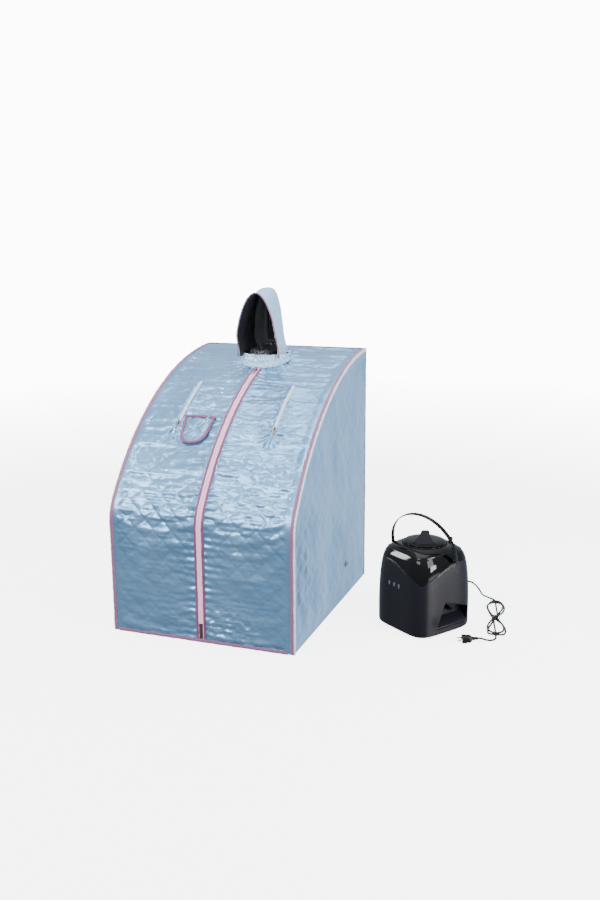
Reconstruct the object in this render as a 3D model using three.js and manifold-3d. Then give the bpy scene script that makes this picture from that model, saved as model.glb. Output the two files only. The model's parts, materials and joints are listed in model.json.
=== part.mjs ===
// Portable steam sauna: a quilted one-person tent on a plug-together tube frame, with a hood for the
// head, and a separate steam generator with its mains cord.
// Millimetres, +Z up. The origin is the centre of the tent floor's underside, -Y is the tent's front.
import * as THREE from 'three';
import { mergeVertices } from 'three/addons/utils/BufferGeometryUtils.js';
import Module from 'manifold-3d';

const wasm = await Module();
wasm.setup();

// ---- Driving dimensions --------------------------------------------------------------------------

const GAP = 0.3; // clearance between touching pieces
const EPS = 0.05;
const DEG = Math.PI / 180;

const TENT_WIDTH = 700;
const TENT_DEPTH = 850;
const TENT_HEIGHT = 970;
const CLOTH = 4; // thickness of the quilted cloth
const LEG_HEIGHT = 410; // straight part of the side outline
const KNEE_RADIUS = 150; // bend above the straight part
const KNEE_TURN = 32.5 * DEG;
const ROOF_STEPS = 18;
const KNEE_STEPS = 4;

const NECK = { y: 215, halfWidth: 90, halfDepth: 82, bottom: 902, top: 962 };
const HOOD = { halfWidth: 91, height: 236, front: 146, back: 293, bevel: 26, foot: 963 };

const ZIP_HALF = 17; // half width of the main zip with its tapes
const ZIP_TOP_Y = 129;
const ZIP_SLIDER_Y = 104;
const END_TAB_HEIGHT = 58;
const ARM_ZIP_X = 190;
const ARM_ZIP_HALF = 6;
const ARM_ZIP_LOW_Y = -196;
const ARM_ZIP_HIGH_Y = 16;
const ARM_SLIDER_Y = -183;

const POCKET = { x: -115, y: -198, halfWidth: 58, height: 124 };
const HOSE_PORT = { y: 173, z: 134, flange: 14, sleeve: 9, bore: 7 };

const TUBE = { radius: 7.5, bore: 6.5, facets: 4 }; // facets: half the sides of the section
const TUBE_INSET = 15; // tube centre line behind the cloth's outer face
const SOCKET = { radius: 9.6, bore: 8.3, reach: 38, stop: 12 };

const STEAMER = { x: 703, y: 4, turn: -35 * DEG };
const SHELL_SQUARENESS = 5; // exponent of the rounded-square section
const SHELL_STEPS = 32;
const DECK_EDGE = 262; // lower edge of the glossy deck
const BEAK_TIP = 200; // the deck's point on the front corner
const BEAK_HALF = 100;
const TANK_RADIUS = 80;
const LID = { radius: 78, bottom: 314.6 };
const HANDLE = { pivotZ: 272, span: 137, width: 17, thickness: 4, rise: 22, turn: 13 * DEG, lean: 15 * DEG };
const BUTTON = { width: 9, height: 16, z: 175, pitch: 26 };

const CORD_DIAMETER = 7;
const CORD_BEND = 28; // radius of the cord's turns beside the hank
const HANK = { farX: 932, farY: 285, nearX: 985, nearY: -60, halfWidth: 34, bottom: 2.6, top: 21 };

// ---- Solids --------------------------------------------------------------------------------------

function toSolid(geometry) {
  let bare = geometry.clone();
  bare.deleteAttribute('normal');
  bare.deleteAttribute('uv');
  bare = mergeVertices(bare, 1e-3);
  const vertProperties = new Float32Array(bare.attributes.position.array);
  const triVerts = new Uint32Array(bare.index.array);
  return new wasm.Manifold(new wasm.Mesh({ numProp: 3, vertProperties, triVerts }));
}

function toGeometry(solid) {
  const mesh = solid.getMesh();
  const geometry = new THREE.BufferGeometry();
  geometry.setAttribute('position', new THREE.BufferAttribute(new Float32Array(mesh.vertProperties), 3));
  geometry.setIndex(new THREE.BufferAttribute(new Uint32Array(mesh.triVerts), 1));
  return geometry;
}

function join(...pieces) {
  return toGeometry(pieces.map(toSolid).reduce((a, b) => a.add(b)));
}

function cut(piece, ...tools) {
  return toGeometry(tools.map(toSolid).reduce((a, b) => a.subtract(b), toSolid(piece)));
}

function common(a, b) {
  return toGeometry(toSolid(a).intersect(toSolid(b)));
}

function box(x0, x1, y0, y1, z0, z1) {
  const geometry = new THREE.BoxGeometry(x1 - x0, y1 - y0, z1 - z0);
  return geometry.translate((x0 + x1) / 2, (y0 + y1) / 2, (z0 + z1) / 2);
}

// A cylinder, or a tube when it has a bore, from one point to another.
function rod(from, to, radius, bore = 0, facets = TUBE.facets) {
  const shape = new THREE.Shape().absarc(0, 0, radius, 0, 2 * Math.PI);
  if (bore) shape.holes.push(new THREE.Path().absarc(0, 0, bore, 0, 2 * Math.PI, true));
  const axis = to.clone().sub(from);
  const options = { depth: axis.length(), bevelEnabled: false, curveSegments: facets };
  const geometry = new THREE.ExtrudeGeometry(shape, options);
  const turn = new THREE.Quaternion().setFromUnitVectors(new THREE.Vector3(0, 0, 1), axis.normalize());
  return geometry.applyQuaternion(turn).translate(from.x, from.y, from.z);
}

// A round piece about Z from its [radius, height] outline, which closes on itself or on the axis.
function lathe(outline, steps = 24) {
  const points = outline.map(([r, z]) => new THREE.Vector2(r, z));
  return new THREE.LatheGeometry(points, steps).rotateX(Math.PI / 2);
}

function tubeAlong(curve, radius, steps, bore = 0, facets = TUBE.facets) {
  const shape = new THREE.Shape().absarc(0, 0, radius, 0, 2 * Math.PI);
  if (bore) shape.holes.push(new THREE.Path().absarc(0, 0, bore, 0, 2 * Math.PI, true));
  return new THREE.ExtrudeGeometry(shape, { extrudePath: curve, steps, curveSegments: facets });
}

const X = new THREE.Vector3(1, 0, 0);
const Y = new THREE.Vector3(0, 1, 0);
const Z = new THREE.Vector3(0, 0, 1);

// Extrudes an outline drawn in the Y-Z plane along X, from x0 to x1.
function alongX(outline, x0, x1) {
  const shape = new THREE.Shape(outline.map(([y, z]) => new THREE.Vector2(y, z)));
  const geometry = new THREE.ExtrudeGeometry(shape, { depth: x1 - x0, bevelEnabled: false });
  return geometry.applyMatrix4(new THREE.Matrix4().makeBasis(Y, Z, X)).translate(x0, 0, 0);
}

// ---- The tent's side outline ---------------------------------------------------------------------
// A station t runs 0..1 up the straight leg, 1..2 round the knee and 2..3 over the roof to the top
// rear corner. Points are [y, z], moved outwards by `out`.

const kneeCentre = [-TENT_DEPTH / 2 + KNEE_RADIUS, LEG_HEIGHT];
const kneeEnd = [
  kneeCentre[0] - KNEE_RADIUS * Math.cos(KNEE_TURN),
  kneeCentre[1] + KNEE_RADIUS * Math.sin(KNEE_TURN),
];
const roofRun = TENT_DEPTH / 2 - kneeEnd[0];
const roofRise = TENT_HEIGHT - kneeEnd[1];
const roofTurn = 2 * (Math.PI / 2 - KNEE_TURN - Math.atan2(roofRise, roofRun));
const roofRadius = Math.hypot(roofRun, roofRise) / (2 * Math.sin(roofTurn / 2));
const roofStart = Math.PI - KNEE_TURN;
const roofCentre = [
  kneeEnd[0] - roofRadius * Math.cos(roofStart),
  kneeEnd[1] - roofRadius * Math.sin(roofStart),
];

function wall(t, out) {
  if (t <= 1) return [-TENT_DEPTH / 2 - out, LEG_HEIGHT * t];
  const onKnee = t <= 2;
  const centre = onKnee ? kneeCentre : roofCentre;
  const radius = (onKnee ? KNEE_RADIUS : roofRadius) + out;
  const angle = onKnee ? Math.PI - (t - 1) * KNEE_TURN : roofStart - (t - 2) * roofTurn;
  return [centre[0] + radius * Math.cos(angle), centre[1] + radius * Math.sin(angle)];
}

const roofAngleAt = (y, out = 0) => Math.acos((y - roofCentre[0]) / (roofRadius + out));
const roofAt = (y, out = 0) => 2 + (roofStart - roofAngleAt(y, out)) / roofTurn;
const legAt = (z) => z / LEG_HEIGHT;

function stations(from, to) {
  const grid = [0, 1];
  for (let i = 1; i <= KNEE_STEPS; i++) grid.push(1 + i / KNEE_STEPS);
  for (let i = 1; i <= ROOF_STEPS; i++) grid.push(2 + i / ROOF_STEPS);
  return [from, ...grid.filter((t) => t > from + 1e-6 && t < to - 1e-6), to];
}

// A strip of cloth or trim that follows the outline between two offsets and two stations.
function strip(inner, outer, from, to, x0, x1) {
  const line = stations(from, to);
  const outline = [...line.map((t) => wall(t, outer)), ...line.reverse().map((t) => wall(t, inner))];
  return alongX(outline, x0, x1);
}

class WallCurve extends THREE.Curve {
  constructor(x, out, from, to) {
    super();
    Object.assign(this, { x, out, from, to });
  }

  getPoint(u, target = new THREE.Vector3()) {
    const [y, z] = wall(this.from + u * (this.to - this.from), this.out);
    return target.set(this.x, y, z);
  }
}

// ---- Scene ---------------------------------------------------------------------------------------

const LOOKS = {
  satin: { color: 0x9bb9d0, roughness: 0.38, metalness: 0.15 },
  hoodSatin: { color: 0xc4dcf0, roughness: 0.4, metalness: 0.1 },
  binding: { color: 0xa56b90, roughness: 0.7, metalness: 0 },
  zipPink: { color: 0xf0cfe2, roughness: 0.6, metalness: 0 },
  zipWhite: { color: 0xe6ecfa, roughness: 0.5, metalness: 0 },
  maroon: { color: 0x4a2c3c, roughness: 0.5, metalness: 0 },
  zipMetal: { color: 0x6b6e76, roughness: 0.35, metalness: 0.9 },
  tube: { color: 0xd8dade, roughness: 0.4, metalness: 0.6 },
  connector: { color: 0xeceef0, roughness: 0.5, metalness: 0 },
  bodyPlastic: { color: 0x2a2930, roughness: 0.45, metalness: 0 },
  glossPlastic: { color: 0x0c0c0e, roughness: 0.12, metalness: 0 },
  steel: { color: 0xb8bbc0, roughness: 0.3, metalness: 1 },
  rubber: { color: 0x1c1c1e, roughness: 0.8, metalness: 0 },
  board: { color: 0x2f6b45, roughness: 0.6, metalness: 0 },
  greyPlastic: { color: 0x9a9aa2, roughness: 0.5, metalness: 0 },
};

const sauna = new THREE.Group();
const steamer = new THREE.Group();
steamer.position.set(STEAMER.x, STEAMER.y, 0);
steamer.rotation.z = STEAMER.turn;
sauna.add(steamer);

function add(name, geometry, look, parent = sauna) {
  const mesh = new THREE.Mesh(geometry, new THREE.MeshStandardMaterial(LOOKS[look]));
  mesh.name = name;
  parent.add(mesh);
  return mesh;
}

const SIDES = [
  ['left', -1],
  ['right', 1],
];
const halfWidth = TENT_WIDTH / 2;
const halfDepth = TENT_DEPTH / 2;
const floorTop = CLOTH + GAP;
const roofEnd = roofAt(halfDepth - CLOTH - GAP);

function mirrored(x0, x1, sign) {
  return sign > 0 ? [x0, x1] : [-x1, -x0];
}

// ---- Tent cloth ----------------------------------------------------------------------------------

add('floor_panel', box(-halfWidth, halfWidth, -halfDepth, halfDepth, 0, CLOTH), 'satin');

const backX = halfWidth - CLOTH - GAP;
const backTop = TENT_HEIGHT - 0.8;
add('back_panel', box(-backX, backX, halfDepth - CLOTH, halfDepth, floorTop, backTop), 'satin');

function sidePanel(sign) {
  const outline = stations(legAt(floorTop), 3).map((t) => wall(t, 0));
  outline.push([halfDepth, floorTop]);
  const panel = alongX(outline, ...mirrored(halfWidth - CLOTH, halfWidth, sign));
  if (sign < 0) return panel;
  const from = new THREE.Vector3(halfWidth - 10, HOSE_PORT.y, HOSE_PORT.z);
  const to = new THREE.Vector3(halfWidth + 10, HOSE_PORT.y, HOSE_PORT.z);
  return cut(panel, rod(from, to, HOSE_PORT.sleeve + GAP, 0, 16));
}

function neckCylinder(margin, z0, z1) {
  const shape = new THREE.Shape();
  shape.absellipse(0, NECK.y, NECK.halfWidth + margin, NECK.halfDepth + margin, 0, 2 * Math.PI);
  const options = { depth: z1 - z0, bevelEnabled: false, curveSegments: 18 };
  return new THREE.ExtrudeGeometry(shape, options).translate(0, 0, z0);
}

function frontPanel(sign) {
  const cloth = strip(-CLOTH, 0, legAt(floorTop), roofEnd, ...mirrored(GAP / 2, backX, sign));
  const zipSlot = strip(-20, 20, 0, roofAt(NECK.y), ...mirrored(-5, ZIP_HALF + GAP, sign));
  const [low, high] = [roofAt(ARM_ZIP_LOW_Y), roofAt(ARM_ZIP_HIGH_Y)];
  const armHalf = ARM_ZIP_HALF + GAP;
  const armSlot = strip(-20, 20, low, high, ...mirrored(ARM_ZIP_X - armHalf, ARM_ZIP_X + armHalf, sign));
  return cut(cloth, zipSlot, armSlot, neckCylinder(1, NECK.bottom - 60, NECK.top + 60));
}

for (const [side, sign] of SIDES) {
  add(`side_panel_${side}`, sidePanel(sign), 'satin');
  add(`front_panel_${side}`, frontPanel(sign), 'satin');
}

const collarHole = neckCylinder(-CLOTH, NECK.bottom - 5, NECK.top + 5);
add('neck_collar', cut(neckCylinder(0, NECK.bottom, NECK.top), collarHole), 'hoodSatin');

// The hood is an arch that runs back from the face opening and closes with a rounded rear wall.
function arch(width, height, foot) {
  const shape = new THREE.Shape();
  shape.moveTo(-width, -foot);
  shape.lineTo(-width, 0);
  shape.bezierCurveTo(-0.94 * width, 0.53 * height, -0.52 * width, 0.98 * height, 0, height);
  shape.bezierCurveTo(0.52 * width, 0.98 * height, 0.94 * width, 0.53 * height, width, 0);
  shape.lineTo(width, -foot);
  return shape;
}

function archSolid(width, height, foot, y0, y1, bevel) {
  const rounding = { bevelSize: bevel, bevelThickness: bevel, bevelOffset: -bevel, bevelSegments: 3 };
  const options = { depth: y1 - y0 - bevel, bevelEnabled: bevel > 0, curveSegments: 9, ...rounding };
  const solid = new THREE.ExtrudeGeometry(arch(width, height, foot), options);
  solid.applyMatrix4(new THREE.Matrix4().makeBasis(X, Z, Y.clone().negate()));
  return solid.translate(0, y1 - bevel, HOOD.foot);
}

function hoodShell() {
  const { halfWidth: w, height: h, front, back, bevel, foot } = HOOD;
  const outer = archSolid(w, h, 2 * bevel, front - 2 * bevel, back, bevel);
  const inner = archSolid(w - CLOTH, h - CLOTH, 2 * bevel, front - 2 * bevel, back - CLOTH, bevel - CLOTH);
  const below = box(-200, 200, 0, 400, foot - 200, foot);
  const ahead = box(-200, 200, -100, front, foot - 200, foot + 400);
  return cut(outer, inner, below, ahead);
}

add('hood', hoodShell(), 'hoodSatin');

function hoodBinding() {
  const { halfWidth: w, height: h, front } = HOOD;
  const outer = archSolid(w + 1.5, h + 1.5, 0, front - 2.8, front - 0.5, 0);
  const inner = archSolid(w - 6, h - 6, 5, front - 20, front + 5, 0);
  return cut(outer, inner);
}

add('hood_binding', hoodBinding(), 'binding');

// ---- Bindings ------------------------------------------------------------------------------------

const TRIM = { inner: 0.6, outer: 2.4, width: 20, lip: 9 };

for (const [side, sign] of SIDES) {
  const sideFace = halfWidth + 0.4;
  const flat = [TRIM.inner, TRIM.outer, 0, roofEnd, ...mirrored(sideFace - TRIM.width, sideFace + 2, sign)];
  const lip = [-TRIM.lip, 1, 0, roofEnd, ...mirrored(sideFace, sideFace + 2, sign)];
  add(`edge_binding_${side}`, join(strip(...flat), strip(...lip)), 'binding');
}

const hemX = halfWidth - TRIM.width - 0.4;
add('front_hem_binding', box(-hemX, hemX, -halfDepth - TRIM.outer, -halfDepth - 0.5, 0, 13), 'binding');

function rearBinding() {
  const [y0, y1, edge] = [halfDepth + 0.5, halfDepth + TRIM.outer, halfWidth + 2.4];
  const top = TENT_HEIGHT + 1.5;
  const bars = [
    box(-edge, edge, y0, y1, top - 16, top),
    box(-edge, 14 - edge, y0, y1, 0, top),
    box(edge - 14, edge, y0, y1, 0, top),
  ];
  return join(...bars);
}

add('rear_binding', rearBinding(), 'binding');

// ---- Zips ----------------------------------------------------------------------------------------

add('main_zip_tape', strip(-3, 0.4, legAt(floorTop), roofAt(ZIP_TOP_Y), -ZIP_HALF, ZIP_HALF), 'zipPink');
const tabEnds = [legAt(floorTop + 10), legAt(floorTop + 10 + END_TAB_HEIGHT)];
add('main_zip_end_tab', strip(0.8, 2.6, ...tabEnds, -7, 7), 'maroon');

const SLIDER = { halfWidth: 6, halfLength: 12, lift: 1.2, height: 4, pinZ: 8.6, pinRadius: 1.2 };
const PULLER = { halfWidth: 4, length: 30, eye: 2.8, eyeHalfWidth: 2.1, halfThickness: 0.9 };
const PULLER_DROOP = 13 * DEG;

// Slider and puller share a local frame: Y up the slope, Z outwards, the pin along X at the origin.
function zipSlider() {
  const { halfWidth: w, halfLength: l, height } = SLIDER;
  const shape = new THREE.Shape();
  shape.moveTo(-0.55 * w, -l);
  shape.lineTo(0.55 * w, -l);
  shape.lineTo(w, 0.2 * l);
  shape.quadraticCurveTo(w, l, 0, l);
  shape.quadraticCurveTo(-w, l, -w, 0.2 * l);
  const options = { depth: height - 1, bevelEnabled: true, bevelSize: 0.5, bevelThickness: 0.5 };
  const plate = new THREE.ExtrudeGeometry(shape, { ...options, bevelSegments: 1, curveSegments: 5 });
  plate.translate(0, 0, -SLIDER.pinZ + 0.5);
  const lugFoot = -SLIDER.pinZ + height - 1;
  const lugs = [-3.6, 3.6].map((x) => box(x - 0.9, x + 0.9, -2.4, 2.4, lugFoot, 2));
  const pin = rod(new THREE.Vector3(-4, 0, 0), new THREE.Vector3(4, 0, 0), SLIDER.pinRadius, 0, 5);
  return join(plate, ...lugs, pin);
}

function zipPuller() {
  const { halfWidth: w, length, eye, eyeHalfWidth: e, halfThickness: h } = PULLER;
  const ring = rod(new THREE.Vector3(-e, 0, 0), new THREE.Vector3(e, 0, 0), eye, 0, 6);
  const neck = box(-e, e, -9, 0, -h, h);
  const shape = new THREE.Shape();
  shape.moveTo(-e, -8);
  shape.lineTo(-w, -14);
  shape.lineTo(-w, -length + w);
  shape.absarc(0, -length + w, w, Math.PI, 2 * Math.PI);
  shape.lineTo(w, -14);
  shape.lineTo(e, -8);
  const plate = new THREE.ExtrudeGeometry(shape, { depth: 2 * h, bevelEnabled: false, curveSegments: 6 });
  const hole = rod(new THREE.Vector3(-6, 0, 0), new THREE.Vector3(6, 0, 0), SLIDER.pinRadius + 0.45, 0, 6);
  return cut(join(ring, neck, plate.translate(0, 0, -h)), hole);
}

// Puts a slider and its puller on the roof slope with the pin above the point at depth y.
function addSlider(prefix, x, y) {
  const angle = roofAngleAt(y);
  const [pinY, pinZ] = wall(roofAt(y), SLIDER.lift + SLIDER.pinZ);
  for (const [name, geometry] of [['slider', zipSlider()], ['puller', zipPuller()]]) {
    const mesh = add(`${prefix}_${name}`, geometry, 'zipMetal');
    mesh.position.set(x, pinY, pinZ);
    mesh.rotation.x = angle - Math.PI / 2 + (name === 'puller' ? PULLER_DROOP : 0);
  }
}

addSlider('main_zip', 0, ZIP_SLIDER_Y);
for (const [side, sign] of SIDES) {
  const x = mirrored(ARM_ZIP_X - ARM_ZIP_HALF, ARM_ZIP_X + ARM_ZIP_HALF, sign);
  const tape = strip(-3, 0.4, roofAt(ARM_ZIP_LOW_Y + 1), roofAt(ARM_ZIP_HIGH_Y - 1), ...x);
  add(`arm_zip_tape_${side}`, tape, 'zipWhite');
  addSlider(`arm_zip_${side}`, sign * ARM_ZIP_X, ARM_SLIDER_Y);
}

// ---- Pocket and hose port ------------------------------------------------------------------------

function pocketPatch() {
  const { x, y, halfWidth: w, height } = POCKET;
  const shape = new THREE.Shape();
  shape.moveTo(-w, height / 2);
  shape.lineTo(0.26 * w - w, 0.2 * height - height / 2);
  shape.quadraticCurveTo(-0.7 * w, -0.49 * height, 0.1 * w, -0.5 * height);
  shape.quadraticCurveTo(0.95 * w, -0.5 * height, 0.97 * w, -0.1 * height);
  shape.lineTo(w, height / 2);
  const prism = new THREE.ExtrudeGeometry(shape, { depth: 120, bevelEnabled: false, curveSegments: 6 });
  const [cy, cz] = wall(roofAt(y), -60);
  prism.rotateX(roofAngleAt(y) - Math.PI / 2).translate(x, cy, cz);
  const cloth = strip(1, 5, roofAt(y - 90), roofAt(y + 90), x - w - 10, x + w + 10);
  return common(cloth, prism);
}

add('pocket', pocketPatch(), 'satin');

const portProfile = [
  [HOSE_PORT.bore, -8],
  [HOSE_PORT.sleeve, -8],
  [HOSE_PORT.sleeve, 0.3],
  [HOSE_PORT.flange, 0.3],
  [HOSE_PORT.flange, 2.4],
  [HOSE_PORT.bore, 2.4],
  [HOSE_PORT.bore, -8],
];
const port = lathe(portProfile, 20).rotateY(Math.PI / 2);
add('hose_port', port.translate(halfWidth, HOSE_PORT.y, HOSE_PORT.z), 'satin');

// ---- Tube frame ----------------------------------------------------------------------------------

const tubeX = halfWidth - CLOTH - TUBE_INSET + 2;
const tubeY = halfDepth - TUBE_INSET;
const tubeZ = TUBE_INSET;
const cornerT = roofAt(tubeY, -TUBE_INSET);
const topZ = wall(cornerT, -TUBE_INSET)[1];
const start = SOCKET.stop + GAP;

function connector(point, directions) {
  const hub = new THREE.SphereGeometry(SOCKET.radius, 10, 6).translate(point.x, point.y, point.z);
  const reach = (d, length) => point.clone().addScaledVector(d, length);
  const arms = directions.map((d) => rod(point, reach(d, SOCKET.reach), SOCKET.radius, 0, 5));
  const bores = directions.map((d) => {
    return rod(reach(d, SOCKET.stop), reach(d, SOCKET.reach + 5), SOCKET.bore, 0, 6);
  });
  return cut(join(hub, ...arms), ...bores);
}

const hollow = (from, to) => rod(from, to, TUBE.radius, TUBE.bore, TUBE.facets);
const at = (x, y, z) => new THREE.Vector3(x, y, z);
const hoopStation = (distance) => cornerT - distance / (roofRadius * roofTurn);
const hoopPoint = at(0, ...wall(hoopStation(SOCKET.reach), -TUBE_INSET));
const roofDirection = hoopPoint.sub(at(0, tubeY, topZ)).normalize();

for (const [side, sign] of SIDES) {
  const inward = at(-sign, 0, 0);
  const frontLow = at(sign * tubeX, -tubeY, tubeZ);
  const backLow = at(sign * tubeX, tubeY, tubeZ);
  const backHigh = at(sign * tubeX, tubeY, topZ);
  add(`corner_front_${side}`, connector(frontLow, [inward, Y, Z]), 'connector');
  add(`corner_rear_${side}`, connector(backLow, [inward, Y.clone().negate(), Z]), 'connector');
  add(`corner_top_${side}`, connector(backHigh, [inward, Z.clone().negate(), roofDirection]), 'connector');

  const sideFrom = at(frontLow.x, -tubeY + start, tubeZ);
  add(`base_rail_${side}`, hollow(sideFrom, at(frontLow.x, tubeY - start, tubeZ)), 'tube');
  const postFrom = at(backLow.x, tubeY, tubeZ + start);
  add(`back_post_${side}`, hollow(postFrom, at(backLow.x, tubeY, topZ - start)), 'tube');

  const splice = 2.06; // the lower and upper hoop tubes meet just above the knee
  const spliceGap = 0.002;
  const lower = new WallCurve(frontLow.x, -TUBE_INSET, legAt(tubeZ + start), 1);
  const knee = new WallCurve(frontLow.x, -TUBE_INSET, 1, splice - spliceGap);
  const hoop = new THREE.CurvePath();
  hoop.add(new THREE.LineCurve3(lower.getPoint(0), lower.getPoint(1)));
  hoop.add(knee);
  add(`hoop_lower_${side}`, tubeAlong(hoop, TUBE.radius, 12, TUBE.bore, TUBE.facets), 'tube');
  const upper = new WallCurve(frontLow.x, -TUBE_INSET, splice, hoopStation(start));
  add(`hoop_upper_${side}`, tubeAlong(upper, TUBE.radius, 14, TUBE.bore, TUBE.facets), 'tube');
}

const railEnd = tubeX - start;
const rails = [
  ['base_rail_front', -tubeY, tubeZ],
  ['base_rail_rear', tubeY, tubeZ],
  ['top_rail_rear', tubeY, topZ],
];
for (const [name, y, z] of rails) add(name, hollow(at(-railEnd, y, z), at(railEnd, y, z)), 'tube');

// ---- Steam generator -----------------------------------------------------------------------------
// Local frame: X towards the face with the steam recess, -Y towards the face with the buttons. The
// front corner lies between them.

// Turns the round section of a lathed piece into a rounded square, fading to round near the lid.
function squareOff(geometry) {
  const position = geometry.attributes.position;
  for (let i = 0; i < position.count; i++) {
    const [x, y] = [position.getX(i), position.getY(i)];
    const radius = Math.hypot(x, y);
    if (radius < EPS) continue;
    const fade = THREE.MathUtils.smoothstep(radius, 86, 116);
    const power = 2 + (SHELL_SQUARENESS - 2) * fade;
    const sum = Math.abs(x / radius) ** power + Math.abs(y / radius) ** power;
    const scale = sum ** (-1 / power);
    position.setX(i, x * scale);
    position.setY(i, y * scale);
  }
  return geometry;
}

const SHELL_OUTER = [
  [134, 12.3],
  [134.5, 90],
  [133.5, 150],
  [130.5, 205],
  [125.5, 247],
  [119, 275],
  [109, 295],
  [97, 307],
  [87, 312],
  [82, 312],
];
const SHELL_INNER = [
  [82, 306],
  [94, 303],
  [105.5, 292],
  [115, 273],
  [122, 246],
  [127, 204],
  [130, 149],
  [131, 90],
  [131, 12.3],
];

const shell = () => squareOff(lathe([...SHELL_OUTER, ...SHELL_INNER, SHELL_OUTER[0]], SHELL_STEPS));
const shellCore = () => squareOff(lathe([[0, 12.3], ...SHELL_OUTER, [0, 312]], SHELL_STEPS));

// Everything above the deck's edge, with the pointed beak that runs down the front corner.
function deckRegion(drop) {
  const beak = new THREE.Shape();
  beak.moveTo(0, BEAK_TIP - drop);
  beak.lineTo(BEAK_HALF, DECK_EDGE - drop + 1);
  beak.lineTo(-BEAK_HALF, DECK_EDGE - drop + 1);
  const prism = new THREE.ExtrudeGeometry(beak, { depth: 200, bevelEnabled: false });
  prism.rotateX(Math.PI / 2).rotateZ(Math.PI / 4);
  return join(box(-200, 200, -200, 200, DECK_EDGE - drop, 400), prism);
}

// The steam recess low on the +X face, with a shelf that slopes up towards its rear wall.
const RECESS = { back: 90, wall: 3 };
function recessOutline(grow) {
  return [
    [-56 - grow, 27 - grow],
    [104 + grow, 27 - grow],
    [104 + grow, 84 + grow],
    [-14 - grow, 126 + grow],
  ];
}

function recessVolume() {
  const space = alongX(recessOutline(0), RECESS.back, 200);
  const shelf = new THREE.Shape();
  shelf.moveTo(80, 0);
  shelf.lineTo(80, 62);
  shelf.lineTo(RECESS.back, 56);
  shelf.lineTo(150, 22);
  shelf.lineTo(150, 0);
  const prism = new THREE.ExtrudeGeometry(shelf, { depth: 400, bevelEnabled: false });
  return cut(space, prism.rotateX(Math.PI / 2).translate(0, 200, 0));
}

const OUTLET = { y: 30, z: 84, radius: 8, bore: 5.5 };
const GLAND = { x: 30, z: 132, radius: 6, inside: 123.6, length: 46 };

function roundedBar(halfX, halfZ, y0, y1) {
  const shape = new THREE.Shape();
  shape.absarc(0, halfZ - halfX, halfX, 0, Math.PI);
  shape.absarc(0, halfX - halfZ, halfX, Math.PI, 2 * Math.PI);
  const bar = new THREE.ExtrudeGeometry(shape, { depth: y1 - y0, bevelEnabled: false, curveSegments: 6 });
  return bar.rotateX(Math.PI / 2).translate(0, y1, 0);
}

const buttonX = (i) => (i - 1) * BUTTON.pitch - BUTTON.pitch / 2;

function steamerBody() {
  const lining = alongX(recessOutline(RECESS.wall), RECESS.back - RECESS.wall, 200);
  let body = cut(shell(), deckRegion(GAP));
  body = join(body, common(lining, shellCore()));
  const { y: outY, z: outZ } = OUTLET;
  const outletHole = rod(at(60, outY, outZ), at(130, outY, outZ), OUTLET.radius + GAP, 0, 8);
  const { x: inX, z: inZ } = GLAND;
  const glandHole = rod(at(inX, 100, inZ), at(inX, 160, inZ), GLAND.radius + GAP, 0, 8);
  const keyholes = [0, 1, 2].map((i) => {
    const hole = roundedBar(BUTTON.width / 2 + 0.4, BUTTON.height / 2 + 0.4, -150, -110);
    return hole.translate(buttonX(i), 0, BUTTON.z);
  });
  return cut(body, recessVolume(), outletHole, glandHole, ...keyholes);
}

// The pivot stubs of the carry handle stand on opposite sides of the deck.
function steamerDeck() {
  const pivots = [-1, 1].map((s) => {
    const stub = rod(at(s * 112, 0, HANDLE.pivotZ), at(s * (HANDLE.span + 3.4), 0, HANDLE.pivotZ), 4, 0, 8);
    return stub.rotateZ(HANDLE.turn);
  });
  const ventKnob = lathe([[0, 296], [6, 296], [6, 312], [9, 314], [9, 320], [6, 323], [0, 323]], 14);
  const deck = common(shell(), deckRegion(0));
  return join(deck, ...pivots, ventKnob.translate(34, 98, 0));
}

add('steamer_body', steamerBody(), 'bodyPlastic', steamer);
add('steamer_deck', steamerDeck(), 'glossPlastic', steamer);

const pedestal = lathe([[58, 6], [66, 6], [66, 48], [58, 48], [58, 6]]);
const basePlate = squareOff(lathe([[0, 4], [129, 4], [133, 8], [133, 12], [0, 12]], SHELL_STEPS));
const feet = [];
for (const x of [-88, 88]) {
  for (const y of [-88, 88]) feet.push(lathe([[0, 0], [11, 0], [13, 5], [0, 5]], 12).translate(x, y, 0));
}
add('steamer_base', join(basePlate, pedestal, ...feet), 'bodyPlastic', steamer);

add('heating_plate', lathe([[0, 48.3], [70, 48.3], [70, 58], [0, 58]]), 'steel', steamer);
const tankProfile = [
  [0, 58.3],
  [TANK_RADIUS - 8, 58.3],
  [TANK_RADIUS, 66],
  [TANK_RADIUS, 300],
  [TANK_RADIUS - 2, 300],
  [TANK_RADIUS - 2, 67],
  [TANK_RADIUS - 9, 60.3],
  [0, 60.3],
];
add('water_tank', lathe(tankProfile, 28), 'steel', steamer);
add('control_board', box(-45, 30, -116, -113, 140, 205), 'board', steamer);

const outletProfile = [
  [OUTLET.bore, 0],
  [OUTLET.radius, 0],
  [OUTLET.radius, 24],
  [OUTLET.radius - 1, 34],
  [OUTLET.bore, 34],
  [OUTLET.bore, 0],
];
const outlet = lathe(outletProfile, 16).rotateY(Math.PI / 2).translate(84, OUTLET.y, OUTLET.z);
add('steam_outlet', outlet, 'greyPlastic', steamer);

const glandProfile = [
  [0, 0],
  [GLAND.radius, 0],
  [GLAND.radius, 11],
  [8, 11],
  [8, 14],
  [6, 17],
  [4.2, GLAND.length],
  [0, GLAND.length],
];
const gland = lathe(glandProfile, 14).rotateX(-Math.PI / 2).translate(GLAND.x, GLAND.inside, GLAND.z);
add('cord_gland', gland, 'rubber', steamer);

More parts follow.
